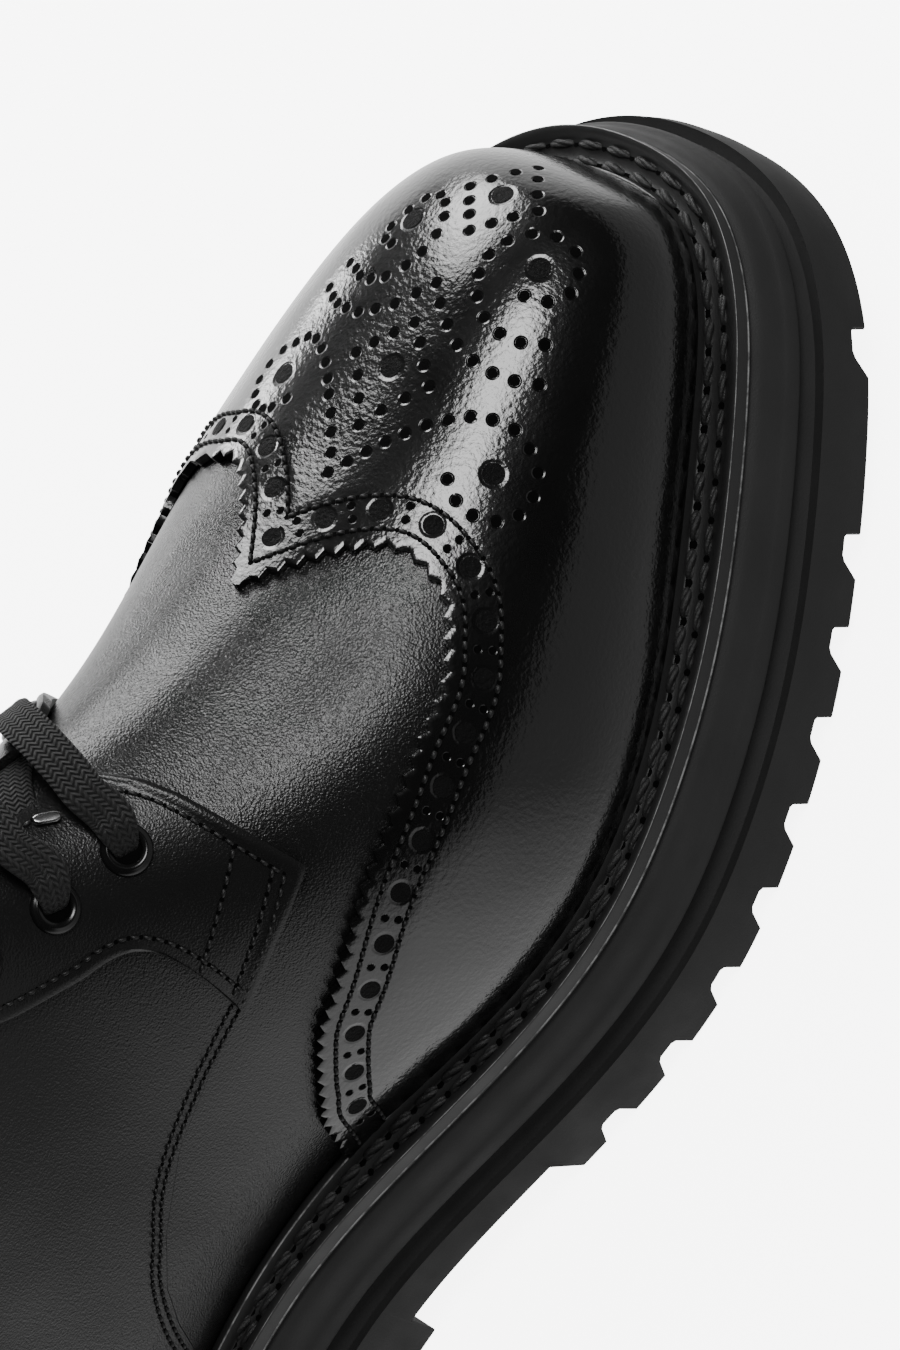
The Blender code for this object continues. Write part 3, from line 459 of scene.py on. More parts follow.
# A colour between two, each an sRGB code or the result of another node.
def blend(tree, share, first, second):
    first, second = (linear(c) if isinstance(c, str) else c for c in (first, second))
    return addNode(tree, "ShaderNodeMix", {0: share, 6: first, 7: second}, data_type="RGBA").outputs[2]


def bump(tree, height, distance, normal=None):
    inputs = {"Height": height, "Distance": distance}
    if normal:
        inputs["Normal"] = normal
    return addNode(tree, "ShaderNodeBump", inputs).outputs["Normal"]


# Leather: two close tones and a gloss that wanders, with bump in several sizes: a slow swell of the
# hide, waves, pores and, where holes are punched, the rim pressed down round each of them.
def leather(name, tones, gloss, grain, grainDepth, wave, waveDepth, swell=0.0, shine=0.5, coat=0.0,
            coatRoughness=0.08, holes=False):
    material, tree, shader, where = newMaterial(name)
    cells = addNode(tree, "ShaderNodeTexVoronoi", {"Vector": where, "Scale": 1 / grain},
                    feature="SMOOTH_F1").outputs["Distance"]
    pores = maths(tree, "ADD", cells, noise(tree, where, grain * 0.7, 1))
    normal = bump(tree, noise(tree, where, 0.013, 0), swell)
    normal = bump(tree, noise(tree, where, wave), waveDepth, normal)
    normal = bump(tree, pores, grainDepth, normal)
    if holes:
        spot = addNode(tree, "ShaderNodeAttribute", attribute_name="hole").outputs["Vector"]
        reach = addNode(tree, "ShaderNodeVectorMath", {0: spot}, operation="LENGTH").outputs["Value"]
        normal = bump(tree, remap(tree, reach, 0.95, 1.35, 0.0, 1.0, "SMOOTHSTEP"), 0.00012, normal)
    feed(tree, shader, {
        "Base Color": blend(tree, noise(tree, where, 0.02, 3), *tones),
        "Roughness": remap(tree, noise(tree, where, 0.012, 4), 0.3, 0.7, *gloss),
        "Specular IOR Level": shine, "Coat Weight": coat, "Coat Roughness": coatRoughness,
        "Normal": normal, "Coat Normal": normal})
    return material


# A plain finish, such as moulded rubber, enamel or thread: two tones, a gloss that wanders, fine bump.
def plain(name, tones, gloss, grain, grainDepth, shine=0.4, metal=0.0):
    material, tree, shader, where = newMaterial(name)
    feed(tree, shader, {
        "Base Color": blend(tree, noise(tree, where, 0.015, 4), *tones),
        "Roughness": remap(tree, noise(tree, where, 0.008, 3), 0.3, 0.7, *gloss),
        "Normal": bump(tree, noise(tree, where, grain, 3, 0.6), grainDepth),
        "Specular IOR Level": shine, "Metallic": metal})
    return material


# Box leather brushed to a shine: wet-looking, with crinkled reflections under a clear wax coat.
polishedLeather = leather("brush-polished box leather", ("#040404", "#080808"), (0.26, 0.36),
                          0.0005, 0.00001, 0.0010, 0.00008, swell=0.0003, shine=0.15, coat=1.0,
                          coatRoughness=0.075, holes=True)
# Milled calf: satin, its fine pores breaking the highlight into sparkle.
calfLeather = leather("fine-grained calf leather", ("#0a0a0a", "#111111"), (0.25, 0.30), 0.00045, 0.00008,
                      0.004, 0.00001, swell=0.0003, shine=0.42)
# The same hide pressed flatter on the facings: darker and calmer.
facingLeather = leather("smooth calf leather", ("#0b0b0b", "#121212"), (0.25, 0.30), 0.00045, 0.00005,
                        0.004, 0.00001, swell=0.0003, shine=0.38)
# Unfinished lining leather: brownish black and dull.
liningLeather = leather("lining leather", ("#15120f", "#1c1814"), (0.55, 0.7), 0.0008, 0.00006, 0.01, 0.0001)
# Steel, polished: the one bright glint among the laces.
polishedSteel = plain("polished steel", ("#8a8a8a", "#a0a0a0"), (0.18, 0.26), 0.001, 0.00001, metal=1.0)
# Rubber from a blasted mould: soft charcoal with no clear reflection.
soleRubber = plain("moulded sole rubber", ("#1a1a1a", "#222222"), (0.55, 0.68), 0.0004, 0.00006, shine=0.3)
# Enamel baked on pressed rings: black with a sharp thin highlight.
enamel = plain("black enamel", ("#080808", "#0c0c0c"), (0.16, 0.22), 0.002, 0.00001)
# A small hole's dark inside: painted shade, black on a disc where there is only shade.
paintedHoleShade = plain("painted shade in a small punched hole", ("#020202", "#040404"), (0.8, 0.9), 0.0005, 0.00005,
                   shine=0.05)
# Raw fibres seen through a large hole, nearly black and rough, and darker still by painted shade.
holeFibresAndShade = plain("raw leather and painted shade in a large hole", ("#020202", "#090909"), (0.6, 0.8), 0.0007, 0.0005,
                  shine=0.12)
# Waxed linen: thick yarns with a soft sheen, and the fine thread of the seams.
weltThread = plain("thick waxed linen thread", ("#0c0c0c", "#1e1e1e"), (0.45, 0.62), 0.0004, 0.00020)
waxedThread = plain("fine waxed thread", ("#0a0a0a", "#141414"), (0.42, 0.55), 0.0003, 0.00005)

braid = dict(column=0.00105, pitch=0.0011, slant=0.9)


# Flat braid: matt, with slanting yarns in narrow columns that turn back and forth. A yarn's height is the
# sine of its distance along the lace plus slant times the folded distance across it.
def makeBraid():
    material, tree, shader, where = newMaterial("flat lace braid")
    weave = addNode(tree, "ShaderNodeAttribute", attribute_name="weave").outputs["Vector"]
    split = addNode(tree, "ShaderNodeSeparateXYZ", {0: weave})
    fold = maths(tree, "PINGPONG", split.outputs["Y"], braid["column"])
    along = maths(tree, "MULTIPLY_ADD", fold, braid["slant"], split.outputs["X"])
    yarn = maths(tree, "SINE", maths(tree, "MULTIPLY", along, 2 * math.pi / braid["pitch"]))
    ridge = maths(tree, "COSINE", maths(tree, "MULTIPLY", fold, 2 * math.pi / braid["column"]))
    fibre = noise(tree, where, 0.0003, 3, 0.7)
    height = maths(tree, "ADD", maths(tree, "MULTIPLY_ADD", ridge, -0.45, yarn), fibre)
    feed(tree, shader, {
        # The colour darkens where the yarns' height is low: painted shade between the yarns.
        "Base Color": blend(tree, remap(tree, height, -0.8, 1.8, 0.0, 1.0), "#020202", "#181818"),
        "Roughness": remap(tree, fibre, 0.3, 0.7, 0.62, 0.8), "Normal": bump(tree, height, 0.0003),
        "Sheen Weight": 0.03, "Specular IOR Level": 0.3})
    return material


# Rubber of the welt, rubbed pale along its sharp edges, where the mesh carries a wear value.
def makeWeltRubber():
    material, tree, shader, where = newMaterial("moulded welt rubber")
    wear = addNode(tree, "ShaderNodeAttribute", attribute_name="wear").outputs["Fac"]
    patches = remap(tree, noise(tree, where, 0.004, 4, 0.7), 0.42, 0.58, 0.25, 1.0)
    rubbed = maths(tree, "MULTIPLY", remap(tree, wear, 0.45, 0.9, 0.0, 1.0), patches)
    unworn = blend(tree, noise(tree, where, 0.015, 4), "#131313", "#1a1a1a")
    feed(tree, shader, {
        "Base Color": blend(tree, rubbed, unworn, "#6c6c6c"),
        "Roughness": remap(tree, noise(tree, where, 0.008, 3), 0.3, 0.7, 0.40, 0.52),
        "Normal": bump(tree, noise(tree, where, 0.0003, 3, 0.6), 0.00003)})
    return material


laceBraid = makeBraid()
weltRubber = makeWeltRubber()

# CAD nodes that pieces replace, and their material slots.
onMidsole = dict(replaces=("midsole",), slot="rubber")
onOutsole = dict(replaces=("outsole",), slot="rubber")
onWelt = dict(replaces=("welt",), slot="welt_rubber")
onUpper = dict(replaces=("upper",), slot="calf_leather")
insideUpper = dict(replaces=("upper",), slot="lining_leather")
onCap = dict(replaces=("wing_cap",), slot="polished_leather")
onLaces = dict(replaces=("laces",), slot="lace_braid")


# Corners of a profile rounded by arcs.
def rounded(corners, radii, steps=4):
    corners = [np.array(c, float) for c in corners]
    out = []
    for k, (corner, radius) in enumerate(zip(corners, radii)):
        if not radius:
            out.append(corner)
            continue
        before, after = corners[k - 1] - corner, corners[(k + 1) % len(corners)] - corner
        a, b = (corner + v * min(radius / np.linalg.norm(v), 0.45) for v in (before, after))
        t = np.linspace(0, 1, steps + 1)[:, None]
        out.extend(a * (1 - t)**2 + corner * 2 * t * (1 - t) + b * t**2)
    return out


# A closed ring round the boot with a profile of (distance outside the welt edge, height) corners.
def soleRing(name, profile, material, **settings):
    lines = []
    for out, height in profile:
        line = offsetEdge(out, everyThird)
        lines.append(place(line[:, 0], line[:, 1], bed(line[:, 0], height)))
    points = np.stack(lines, axis=1)
    count, corners = points.shape[:2]
    quads = gridQuads(count + 1, corners, closed=True) % (count * corners)
    return newPiece(name, points, quads, material, **settings)


everyThird = slice(0, None, 3)
outFlare, midFlare = boot["outsoleFlare"], boot["midsoleFlare"]
midsoleProfile = (
    (-0.016, midsoleBottom, 0), (midFlare - 0.0018, midsoleBottom, 0.0004),
    (midFlare - 0.0018, midsoleBottom + 0.0010, 0.0003), (midFlare, midsoleBottom + 0.0014, 0.0005),
    (midFlare * 0.90, midsoleBottom + 0.0040, 0.0016), (midFlare * 0.62, midsoleBottom + 0.0056, 0.0016),
    (midFlare * 0.36, midsoleBottom + 0.0095, 0.002), (-0.0004, midsoleTop - 0.0006, 0.0008),
    (-0.0010, midsoleTop, 0.0003), (-0.016, midsoleTop, 0))
soleRing("midsole_wall", rounded([c[:2] for c in midsoleProfile], [c[2] for c in midsoleProfile]),
         soleRubber, **onMidsole)

welt = dict(ridgeGap=0.0004, ridgeWidth=0.0021, ridgeHeight=0.0022, outerRow=0.34, innerRow=0.66,
            sink=0.0007)
weltSewing = dict(pitch=0.0068, length=0.0063, rise=0.0006, rings=9, around=6, yarns=3, twist=0.5)
outerThread = dict(width=0.0018, hole=0.00072, shift=0.5)
innerThread = dict(width=0.0024, hole=0.00096)


# Storm welt: a strip with a sunk channel for its two rows of stitches and a ridge along the upper. Each
# corner of its profile has a distance inside the welt edge, a height and its wear.
def makeWelt():
    zero = inset * 0
    ridgeIn = inset - welt["ridgeGap"]
    ridgeOut = ridgeIn - welt["ridgeWidth"]
    top, low, crest = weltTop, weltTop - welt["sink"], weltTop + welt["ridgeHeight"]
    corners = (
        (zero + 0.0100, weltBottom, 0), (zero - 0.0003, weltBottom, 0),
        (zero - 0.00005, weltBottom + 0.00010, 1), (zero, weltBottom + 0.00030, 1),
        (zero, weltBottom + 0.00055, 0), (zero, top - 0.00055, 0), (zero + 0.00005, top - 0.00020, 0),
        (zero + 0.00015, top - 0.00006, 1), (zero + 0.00035, top, 0), (zero + 0.0016, top, 0),
        (zero + 0.0021, low, 0), (ridgeOut - 0.0003, low, 0), (ridgeOut, low + 0.0004, 0),
        (ridgeOut + 0.00020, crest - 0.00030, 0), (ridgeOut + 0.00030, crest - 0.00010, 1),
        (ridgeOut + 0.00048, crest, 0.7), (ridgeOut + 0.00070, crest, 0), (ridgeIn - 0.0005, crest, 0),
        (ridgeIn - 0.00015, crest - 0.0002, 0), (ridgeIn, crest - 0.0005, 0), (ridgeIn, top, 0),
        (inset + 0.004, top - 0.0002, 0), (inset + 0.004, weltBottom, 0))
    piece = soleRing("storm_welt", [(-depth, height) for depth, height, _ in corners], weltRubber, **onWelt)
    wear = piece.data.attributes.new("wear", "FLOAT", "POINT")
    worn = np.tile([c[2] for c in corners], len(piece.data.vertices) // len(corners))
    wear.data.foreach_set("value", worn.astype(np.float32))
    for name, share, thread in (("welt_stitches_outer", welt["outerRow"], outerThread),
                                ("welt_stitches_inner", welt["innerRow"], innerThread)):
        line = offsetEdge(-inset * share, everyThird)
        path = place(line[:, 0], line[:, 1], bed(line[:, 0], low))
        path = np.concatenate([path, path[:1]])
        ahead = np.gradient(path, axis=0)
        normal = np.cross(np.cross(ahead, (0, 0, 1)), ahead)
        normal /= np.linalg.norm(normal, axis=1)[:, None]
        makeStitches(name, [(path, normal)], weltThread, **weltSewing, **thread, **onWelt)


makeWelt()

# Tread: channels across the sole, each with a steep side towards the toe and a slanting one towards the
# heel, given by the place of the first one, their pitch and number.
sole = dict(lugDepth=0.005, gap=0.0042, toeFlare=0.0010, heelFlare=0.0027, pitch=0.0158, firstGap=0.143,
            gaps=8, toeGap=0.287, heelGaps=4, heelFirst=0.0200, breastSlope=0.0006, waistSlope=0.0024,
            sections=420, corner=0.00012)


# Height of the channels' outline over the tread, as places along and heights.
def treadOutline():
    half, slant, steep = sole["gap"] / 2, sole["heelFlare"], sole["toeFlare"]
    heelPitch = (boot["heelBreast"] - sole["heelFirst"]) / sole["heelGaps"]
    gaps = [sole["firstGap"] + sole["pitch"] * k for k in range(sole["gaps"])] + [sole["toeGap"]]
    gaps += [sole["heelFirst"] + heelPitch * k for k in range(sole["heelGaps"])]
    shape = ((-half - slant, 0), (-half - 0.2 * slant, 0.84), (-half + 0.15 * slant, 1),
             (half - 0.8 * steep, 1), (half, 0.86), (half + steep, 0))
    outline = [(gap + offset, height * sole["lugDepth"]) for gap in sorted(gaps) for offset, height in shape]
    return np.array(outline).T


# Outsole as sections across the boot at places from heel to toe; its underside steps up at each
# channel, at the waist and at the heel's front.
def makeOutsole():
    spots, heights = treadOutline()
    waist = (boot["heelBreast"], boot["heelBreast"] + sole["breastSlope"], boot["treadStart"],
             boot["treadStart"] + sole["waistSlope"])
    start, end = -outFlare, boot["weltLength"] + outFlare
    total = end - start
    even = start + total * (1 - np.cos(np.linspace(0, math.pi, sole["sections"]))) / 2
    sharp = np.sort(np.r_[spots, waist])
    doubled = np.concatenate([sharp - sole["corner"], sharp, sharp + sole["corner"]])
    along = np.unique(np.round(np.concatenate([even, doubled]), 7))
    hollow = np.interp(along, waist, (0, boot["waistHeight"], boot["waistHeight"], 0))
    under = np.interp(along, spots, heights) + hollow + springAt(along)
    mean, top = (outFlare + midFlare) / 2, boot["outsole"]
    levels = (
        (outFlare - 0.0006, under), (outFlare, under + 0.0006),
        (outFlare, np.maximum(under + 0.0010, springAt(along) + 0.0052)),
        (outFlare - 0.0004, bed(along, boot["waistHeight"] + 0.0014)),
        (mean + 0.0005, bed(along, top - 0.0026)), (mean - 0.0002, bed(along, top - 0.0030)),
        (mean - 0.0018, bed(along, top - 0.0036)), (mean - 0.0034, bed(along, top - 0.0020)),
        (mean - 0.0045, bed(along, top)), (-0.012, bed(along, top)))
    outer, inner = [], []
    for flare, height in levels:
        ring = offsetEdge(flare)
        low, high = ring[:, 0].min(), ring[:, 0].max()
        at = low + (along - start) / total * (high - low)
        outer.append(place(at, halfWidth(ring, at, -1, signed=True), height))
        inner.append(place(at, -halfWidth(ring, at, 1, signed=True), height))
    belly = [outer[0] * (1 - t) + inner[0] * t for t in np.linspace(0, 1, 9)[1:-1]]
    points = np.stack(outer[::-1] + belly + inner, axis=1)
    piece = newPiece("lugged_outsole", points, gridQuads(len(along), points.shape[1], closed=True),
                     soleRubber, weld=2e-6, **onOutsole)
    piece.data.set_sharp_from_angle(angle=math.radians(35))


makeOutsole()
say("sole ready")


def smoothStep(low, high, value):
    t = np.clip((value - low) / (high - low), 0, 1)
    return t * t * (3 - 2 * t)


# Tables over the sections: distance from the middle plane, and distance down the section from it.
tableRows = np.linspace(9, 24, 76)
tableAcross = np.linspace(0, 0.99, 331)
tablePoints = upperPoint(tableRows[:, None], -tableAcross[None, :])
tableWidth = np.abs(tablePoints[..., 0] - middle)
tableRun = np.concatenate([np.zeros((len(tableRows), 1)), np.cumsum(
    np.linalg.norm(np.diff(tablePoints, axis=1), axis=-1), axis=1)], axis=1)


# Across where each section has a given half width, read on its rising front part alone.
def acrossAtWidth(width):
    rising = [slice(0, np.argmax(line) + 1) for line in tableWidth]
    return np.array([np.interp(width, line[part], tableAcross[part])
                     for line, part in zip(tableWidth, rising)])


# Across at a given distance from the back seam, measured along the section.
def besideBackSeam(row, distance):
    values = [np.interp(run[-1] - distance, run, tableAcross) for run in tableRun]
    return np.interp(row, tableRows, values)


throatAtRow = acrossAtWidth(boot["throatGap"] / 2)


# Across of the throat's edge, and of a place further down the section.
def throatEdge(row):
    return np.interp(row, tableRows, throatAtRow)


def belowThroat(row, depth):
    values = [np.interp(np.interp(a, tableAcross, run) + depth, run, tableAcross)
              for a, run in zip(throatAtRow, tableRun)]
    return np.interp(row, tableRows, values)


# Soft creases along the vamp: place across, half width and height of each. A crease is a bell curve
# across the vamp that fades in behind the cap and out before the throat.
vamp = dict(folds=((-0.065, 0.060, 0.0005), (0.13, 0.06, -0.0003), (-0.21, 0.07, -0.0008),
                   (-0.37, 0.09, 0.0006)), firstRow=5.0, lastRow=11.8, sideReach=2.5, thickness=0.001)


def makeVamp():
    across = np.linspace(-0.995, 0.995, 190)
    last = vamp["lastRow"] + vamp["sideReach"] * smoothStep(0.08, 0.5, np.abs(across))
    row = vamp["firstRow"] + np.linspace(0, 1, 90)[:, None] * (last - vamp["firstRow"])
    fold = sum(high * np.exp(-((across - at) / wide)**2) for at, wide, high in vamp["folds"])
    fold = fold * smoothStep(8.0, 8.9, row) * smoothStep(11.6, 10.6, row)
    sheet("vamp", skin(row, across, fold), skin(row, across, -vamp["thickness"]), calfLeather, **onUpper)


makeVamp()

# Pattern of the wing cap. Its edge is given as places across from the middle line and rows, the same on
# both sides but for innerReach. Distances are from the pinked edge inwards.
cap = dict(lift=0.0021, thickness=0.0017, toothPitch=0.0034, toothDepth=0.0013, tipRow=8.80,
           bandWidth=0.0098, bevel=0.00015, underBand=0.0006, holeRow=0.0071, holePitch=0.0100,
           holeSize=0.00195, pairSize=0.00066, pairSpread=0.0013, stitchRows=(0.0036, 0.0098), lean=0.03,
           innerReach=0.13, columns=1250, reach=0.0110, lastAcross=0.992)
medallion = dict(large=0.0021, small=0.00100)
wingSewing = dict(pitch=0.0022, length=0.0018, width=0.00085, rise=0.00045, hole=0.00048)
wingEdge = ((0.0, 8.86), (0.06, 8.40), (0.11, 8.09), (0.157, 7.89), (0.2015, 7.788), (0.2595, 7.855),
            (0.314, 8.065), (0.341, 8.333), (0.3645, 8.615), (0.378, 9.079), (0.4035, 9.604),
            (0.4475, 10.236), (0.4985, 10.723), (0.585, 11.337), (0.622, 11.59), (0.657, 11.747),
            (0.753, 12.047), (0.86, 12.12), (0.985, 12.15))


def leaning(u):
    return u - cap["lean"] * (1 - u * u)


# Lines beside the wing edge on one side, from its tips inwards: rows, places across and how far in
# each column may go before it meets the middle line.
def besideWing(side, steps=28):
    count, depth = cap["columns"], cap["reach"]
    row, u, length = evenPath(np.array(wingEdge)[:, ::-1], count)
    if side > 0:
        u = np.clip(u + cap["innerReach"] * smoothStep(0.25, 0.36, u) * smoothStep(0.95, 0.6, u), 0, 1)
    across = leaning(side * u) if side < 0 else -leaning(-u) - 2 * cap["lean"]
    rows, places = marchBeside(row, across, -side * depth, steps)
    over = side * (places + cap["lean"]) < 0
    meets = over.any(axis=0)
    first = np.where(meets, over.argmax(axis=0), steps)
    before, after = np.maximum(first - 1, 0), np.minimum(first, steps)
    column = np.arange(count)
    a, b = places[before, column] + cap["lean"], places[after, column] + cap["lean"]
    apart = np.abs(a - b) > 1e-9
    share = np.where(apart, np.clip(a / np.where(apart, a - b, 1), 0, 1), 1)
    return rows, places, np.where(meets, (before + share) / steps * depth, depth), length


def readBeside(rows, places, depth, distance):
    steps = len(rows) - 1
    spot = np.clip(distance / depth * steps, 0, steps - 1e-6)
    low = spot.astype(int)
    part = spot - low
    column = np.arange(rows.shape[1])
    return tuple(t[low, column] * (1 - part) + t[low + 1, column] * part for t in (rows, places))


# Large holes, ringed and joined by chains of small ones, as row and across.
largeHoles = ((3.653, 0.001), (4.491, -0.237), (4.692, 0.159), (6.284, -0.03), (6.731, -0.328),
              (6.819, 0.191))
smallHoles = (
    (2.58, 0.032), (2.94, -0.024), (3.31, -0.082), (3.62, -0.13), (3.04, 0.043), (3.44, 0.069),
    (3.78, 0.098), (4.03, 0.059), (4.24, 0.028), (4.47, 0.001), (4.21, -0.034), (3.93, -0.075),
    (4.17, 0.152), (4.32, 0.186), (4.24, 0.116), (4.45, 0.082), (4.73, 0.063), (5.02, 0.063),
    (5.26, 0.076), (5.48, 0.105), (5.58, 0.139), (5.6, 0.177), (5.55, 0.207), (5.08, 0.191),
    (5.1, 0.159), (4.91, 0.207), (4.6, 0.201), (4.34, -0.109), (4.05, -0.16), (3.9, -0.234),
    (3.99, -0.313), (4.29, -0.351), (4.61, -0.352), (4.85, -0.302), (4.92, -0.235), (4.65, -0.087),
    (4.94, -0.094), (5.2, -0.122), (5.38, -0.165), (5.46, -0.219), (5.44, -0.278), (5.34, -0.339),
    (5.28, -0.01), (5.47, -0.047), (5.49, 0.013), (5.7, 0.041), (5.84, 0.075), (5.95, 0.11),
    (5.97, 0.149), (5.97, 0.183), (5.93, 0.213), (5.64, -0.091), (5.78, -0.137), (5.85, -0.189),
    (5.87, -0.243), (5.84, -0.299), (5.76, -0.358), (5.78, -0.019), (5.97, 0.006), (6.15, 0.03),
    (6.32, 0.052), (6.51, 0.019), (6.7, -0.009), (6.92, -0.04), (6.7, -0.063), (6.49, -0.093),
    (6.28, -0.126), (6.12, -0.092), (5.94, -0.056), (6.4, 0.199), (6.38, 0.17), (6.44, 0.137),
    (6.54, 0.103), (6.67, 0.073), (6.8, 0.048), (6.95, 0.02), (7.11, -0.002), (7.28, -0.025),
    (7.46, -0.043), (7.28, -0.062), (7.11, -0.083), (6.94, -0.105), (6.78, -0.131), (6.62, -0.161),
    (6.48, -0.197), (6.35, -0.238), (6.28, -0.285), (6.27, -0.339), (6.37, -0.383), (6.53, -0.416),
    (6.75, -0.421), (6.96, -0.404), (7.11, -0.367), (7.16, -0.321), (7.11, -0.28), (6.97, -0.248),
    (7.02, 0.135), (7.16, 0.158), (7.22, 0.18), (6.5, 0.225), (6.62, 0.252), (6.8, 0.268), (6.98, 0.262),
    (7.12, 0.24), (7.21, 0.21), (5.52, 0.245), (5.86, 0.25))


# Holes are kept on the mesh as the place of each corner from the nearest hole's centre in radii.
def punch(piece, centres, radii):
    mesh = piece.data
    points = np.empty(len(mesh.vertices) * 3, np.float32)
    mesh.vertices.foreach_get("co", points)
    points = points.reshape(-1, 3)
    corner = np.empty(len(mesh.loops), np.int32)
    mesh.loops.foreach_get("vertex_index", corner)
    starts = np.empty(len(mesh.polygons), np.int32)
    mesh.polygons.foreach_get("loop_start", starts)
    sizes = np.diff(np.append(starts, len(corner)))
    middles = np.add.reduceat(points[corner], starts, axis=0) / sizes[:, None]
    best = np.full(len(starts), 1e9)
    which = np.zeros(len(starts), int)
    for number, (centre, radius) in enumerate(zip(centres, radii)):
        reach = np.linalg.norm(middles - centre, axis=1) / radius
        nearer = reach < best
        best[nearer] = reach[nearer]
        which[nearer] = number
    which = np.repeat(which, sizes)
    offset = (points[corner] - centres[which]) / radii[which][:, None]
    hole = mesh.attributes.new("hole", "FLOAT_VECTOR", "CORNER")
    hole.data.foreach_set("vector", np.ascontiguousarray(offset, np.float32).ravel())


# Painted shade in the holes: each a small dark disc just proud of the leather.
def makeHoleShadeDiscs(name, spots, radii, material, around=20):
    centre, normal = onSkin(*spots.T, cap["lift"])
    helper = np.cross(normal, (0.0, 0.0, 1.0))
    helper /= np.linalg.norm(helper, axis=1)[:, None]
    other = np.cross(normal, helper)
    turn = np.linspace(0, 2 * math.pi, around, endpoint=False)[None, :, None]
    spokes = np.cos(turn) * helper[:, None] + np.sin(turn) * other[:, None]
    radii = radii[:, None, None, None]
    reach = np.array((0.12, 0.6, 0.97))[None, :, None, None] * radii
    proud = np.array((0.00004, 0.00004, 0.00003))[None, :, None, None] + 0.008 * radii
    points = centre[:, None, None] + spokes[:, None] * reach + normal[:, None, None] * proud
    disc = np.concatenate([gridQuads(3, around, closed=True)[:, ::-1], crossQuads(around)])
    newPiece(name, points, repeated(disc, len(points), 3 * around), material, solid=False, **onCap)


# One wing of the band with its pinked edge: places where the cap's own leather ends below it, its large
# and its small holes, as rows and places across, and its stitch lines.
def makeBand(side):
    rows, places, limit, length = besideWing(side)
    count, lift, spacing = cap["columns"], cap["lift"], cap["holePitch"]

    def beside(distance):
        return (line[0] for line in readBeside(rows, places, cap["reach"], np.full((1, count), distance)))

    run = np.linspace(0, length, count)
    teeth = cap["toothDepth"] * np.abs(2 * (run / cap["toothPitch"] % 1) - 1)
    teeth = np.minimum(teeth, limit * 0.3)
    share = np.r_[0, 0.06, np.linspace(0.14, 1, 8)][:, None]
    inner = np.minimum(limit, cap["bandWidth"])
    row, across = readBeside(rows, places, cap["reach"], teeth + share * (inner - teeth))
    row = np.minimum(row, np.where(np.abs(across + cap["lean"]) < 0.04, cap["tipRow"], 99))
    across = np.clip(across, -cap["lastAcross"], cap["lastAcross"])
    bevel = cap["bevel"] * (1 - smoothStep(0, 0.06, share))
    band = sheet("wing_band_outer" if side < 0 else "wing_band_inner", skin(row, across, lift - bevel),
                 skin(row, across, lift - cap["thickness"]), polishedLeather, rounding=0, **onCap)

    under = cap["bandWidth"] - cap["underBand"]
    row, across = beside(under)
    row, across = row[limit > under], across[limit > under]
    pick = np.unique(np.linspace(0, len(row) - 1, 165).astype(int))
    boundary = row[pick], across[pick]

    row, across = beside(cap["holeRow"])
    usable = np.flatnonzero(limit > cap["holeRow"])
    path = skin(row[usable], across[usable], lift)
    travelled = np.r_[0, np.cumsum(np.linalg.norm(np.diff(path, axis=0), axis=1))]
    singleAt = np.arange(0 if side < 0 else 1, travelled[-1] / spacing - 0.35) * spacing
    pairedAt = np.arange(0, travelled[-1] / spacing - 0.85) * spacing + spacing / 2
    single, paired = (usable[np.clip(np.searchsorted(travelled, at), 0, len(usable) - 1)]
                      for at in (singleAt, pairedAt))
    centres = np.stack([np.interp(singleAt, travelled, path[:, k]) for k in range(3)], axis=1)
    large = np.stack([row[single], across[single]], axis=1)
    small = []
    for offset in (-cap["pairSpread"], cap["pairSpread"]):
        row, across = beside(cap["holeRow"] + offset)
        small.append(np.stack([row[paired], across[paired]], axis=1))
    small = np.concatenate(small)
    punch(band, np.concatenate([centres, skin(*small.T, lift)]),
          np.repeat((cap["holeSize"], cap["pairSize"]), (len(large), len(small))))

    seams = []
    for at in cap["stitchRows"]:
        row, across = beside(at)
        keep = (limit > at) & (np.abs(across) < 0.97)
        seams.append(onSkin(row[keep], across[keep], lift))
    return boundary, large, small, seams


# The cap's own leather fans out from the toe to the bands. share runs from 0 at the toe to 1 there.
def makeCap():
    outerBand, innerBand = makeBand(-1), makeBand(1)
    (outerRow, outerAcross), (innerRow, innerAcross) = outerBand[0], innerBand[0]
    first = (outerRow[0] + innerRow[0]) / 2
    lastRow = np.concatenate([outerRow[::-1], [first - 0.02], innerRow])
    across = np.concatenate([outerAcross[::-1], [-cap["lean"]], innerAcross])
    share = np.concatenate([[0.012, 0.03], np.linspace(0.05, 1, 106)])[:, None]
    row = share * (first + (lastRow - first) * share)
    lift = cap["lift"] - 0.0002 * smoothStep(0.985, 1, share)
    piece = sheet("wing_cap_skin", skin(row, across, lift), skin(row, across, lift - cap["thickness"]),
                  polishedLeather, rounding=0, **onCap)
    large, small = np.array(largeHoles), np.array(smallHoles)
    punch(piece, skin(*np.concatenate([large, small]).T, cap["lift"]),
          np.repeat((medallion["large"], medallion["small"]), (len(large), len(small))))
    # Dark discs in the punched holes: painted shade standing in for their depth.
    for name, index, own, bandSize, ownSize, material in (
            ("large_hole_shade_discs", 1, large, cap["holeSize"], medallion["large"], holeFibresAndShade),
            ("small_hole_shade_discs", 2, small, cap["pairSize"], medallion["small"], paintedHoleShade)):
        onBands = np.concatenate([outerBand[index], innerBand[index]])
        makeHoleShadeDiscs(name, np.concatenate([onBands, own]),
                       np.repeat((bandSize, ownSize), (len(onBands), len(own))), material)
    makeStitches("wing_stitches", outerBand[3] + innerBand[3], waxedThread, **wingSewing, **onCap)


makeCap()
say("cap ready")

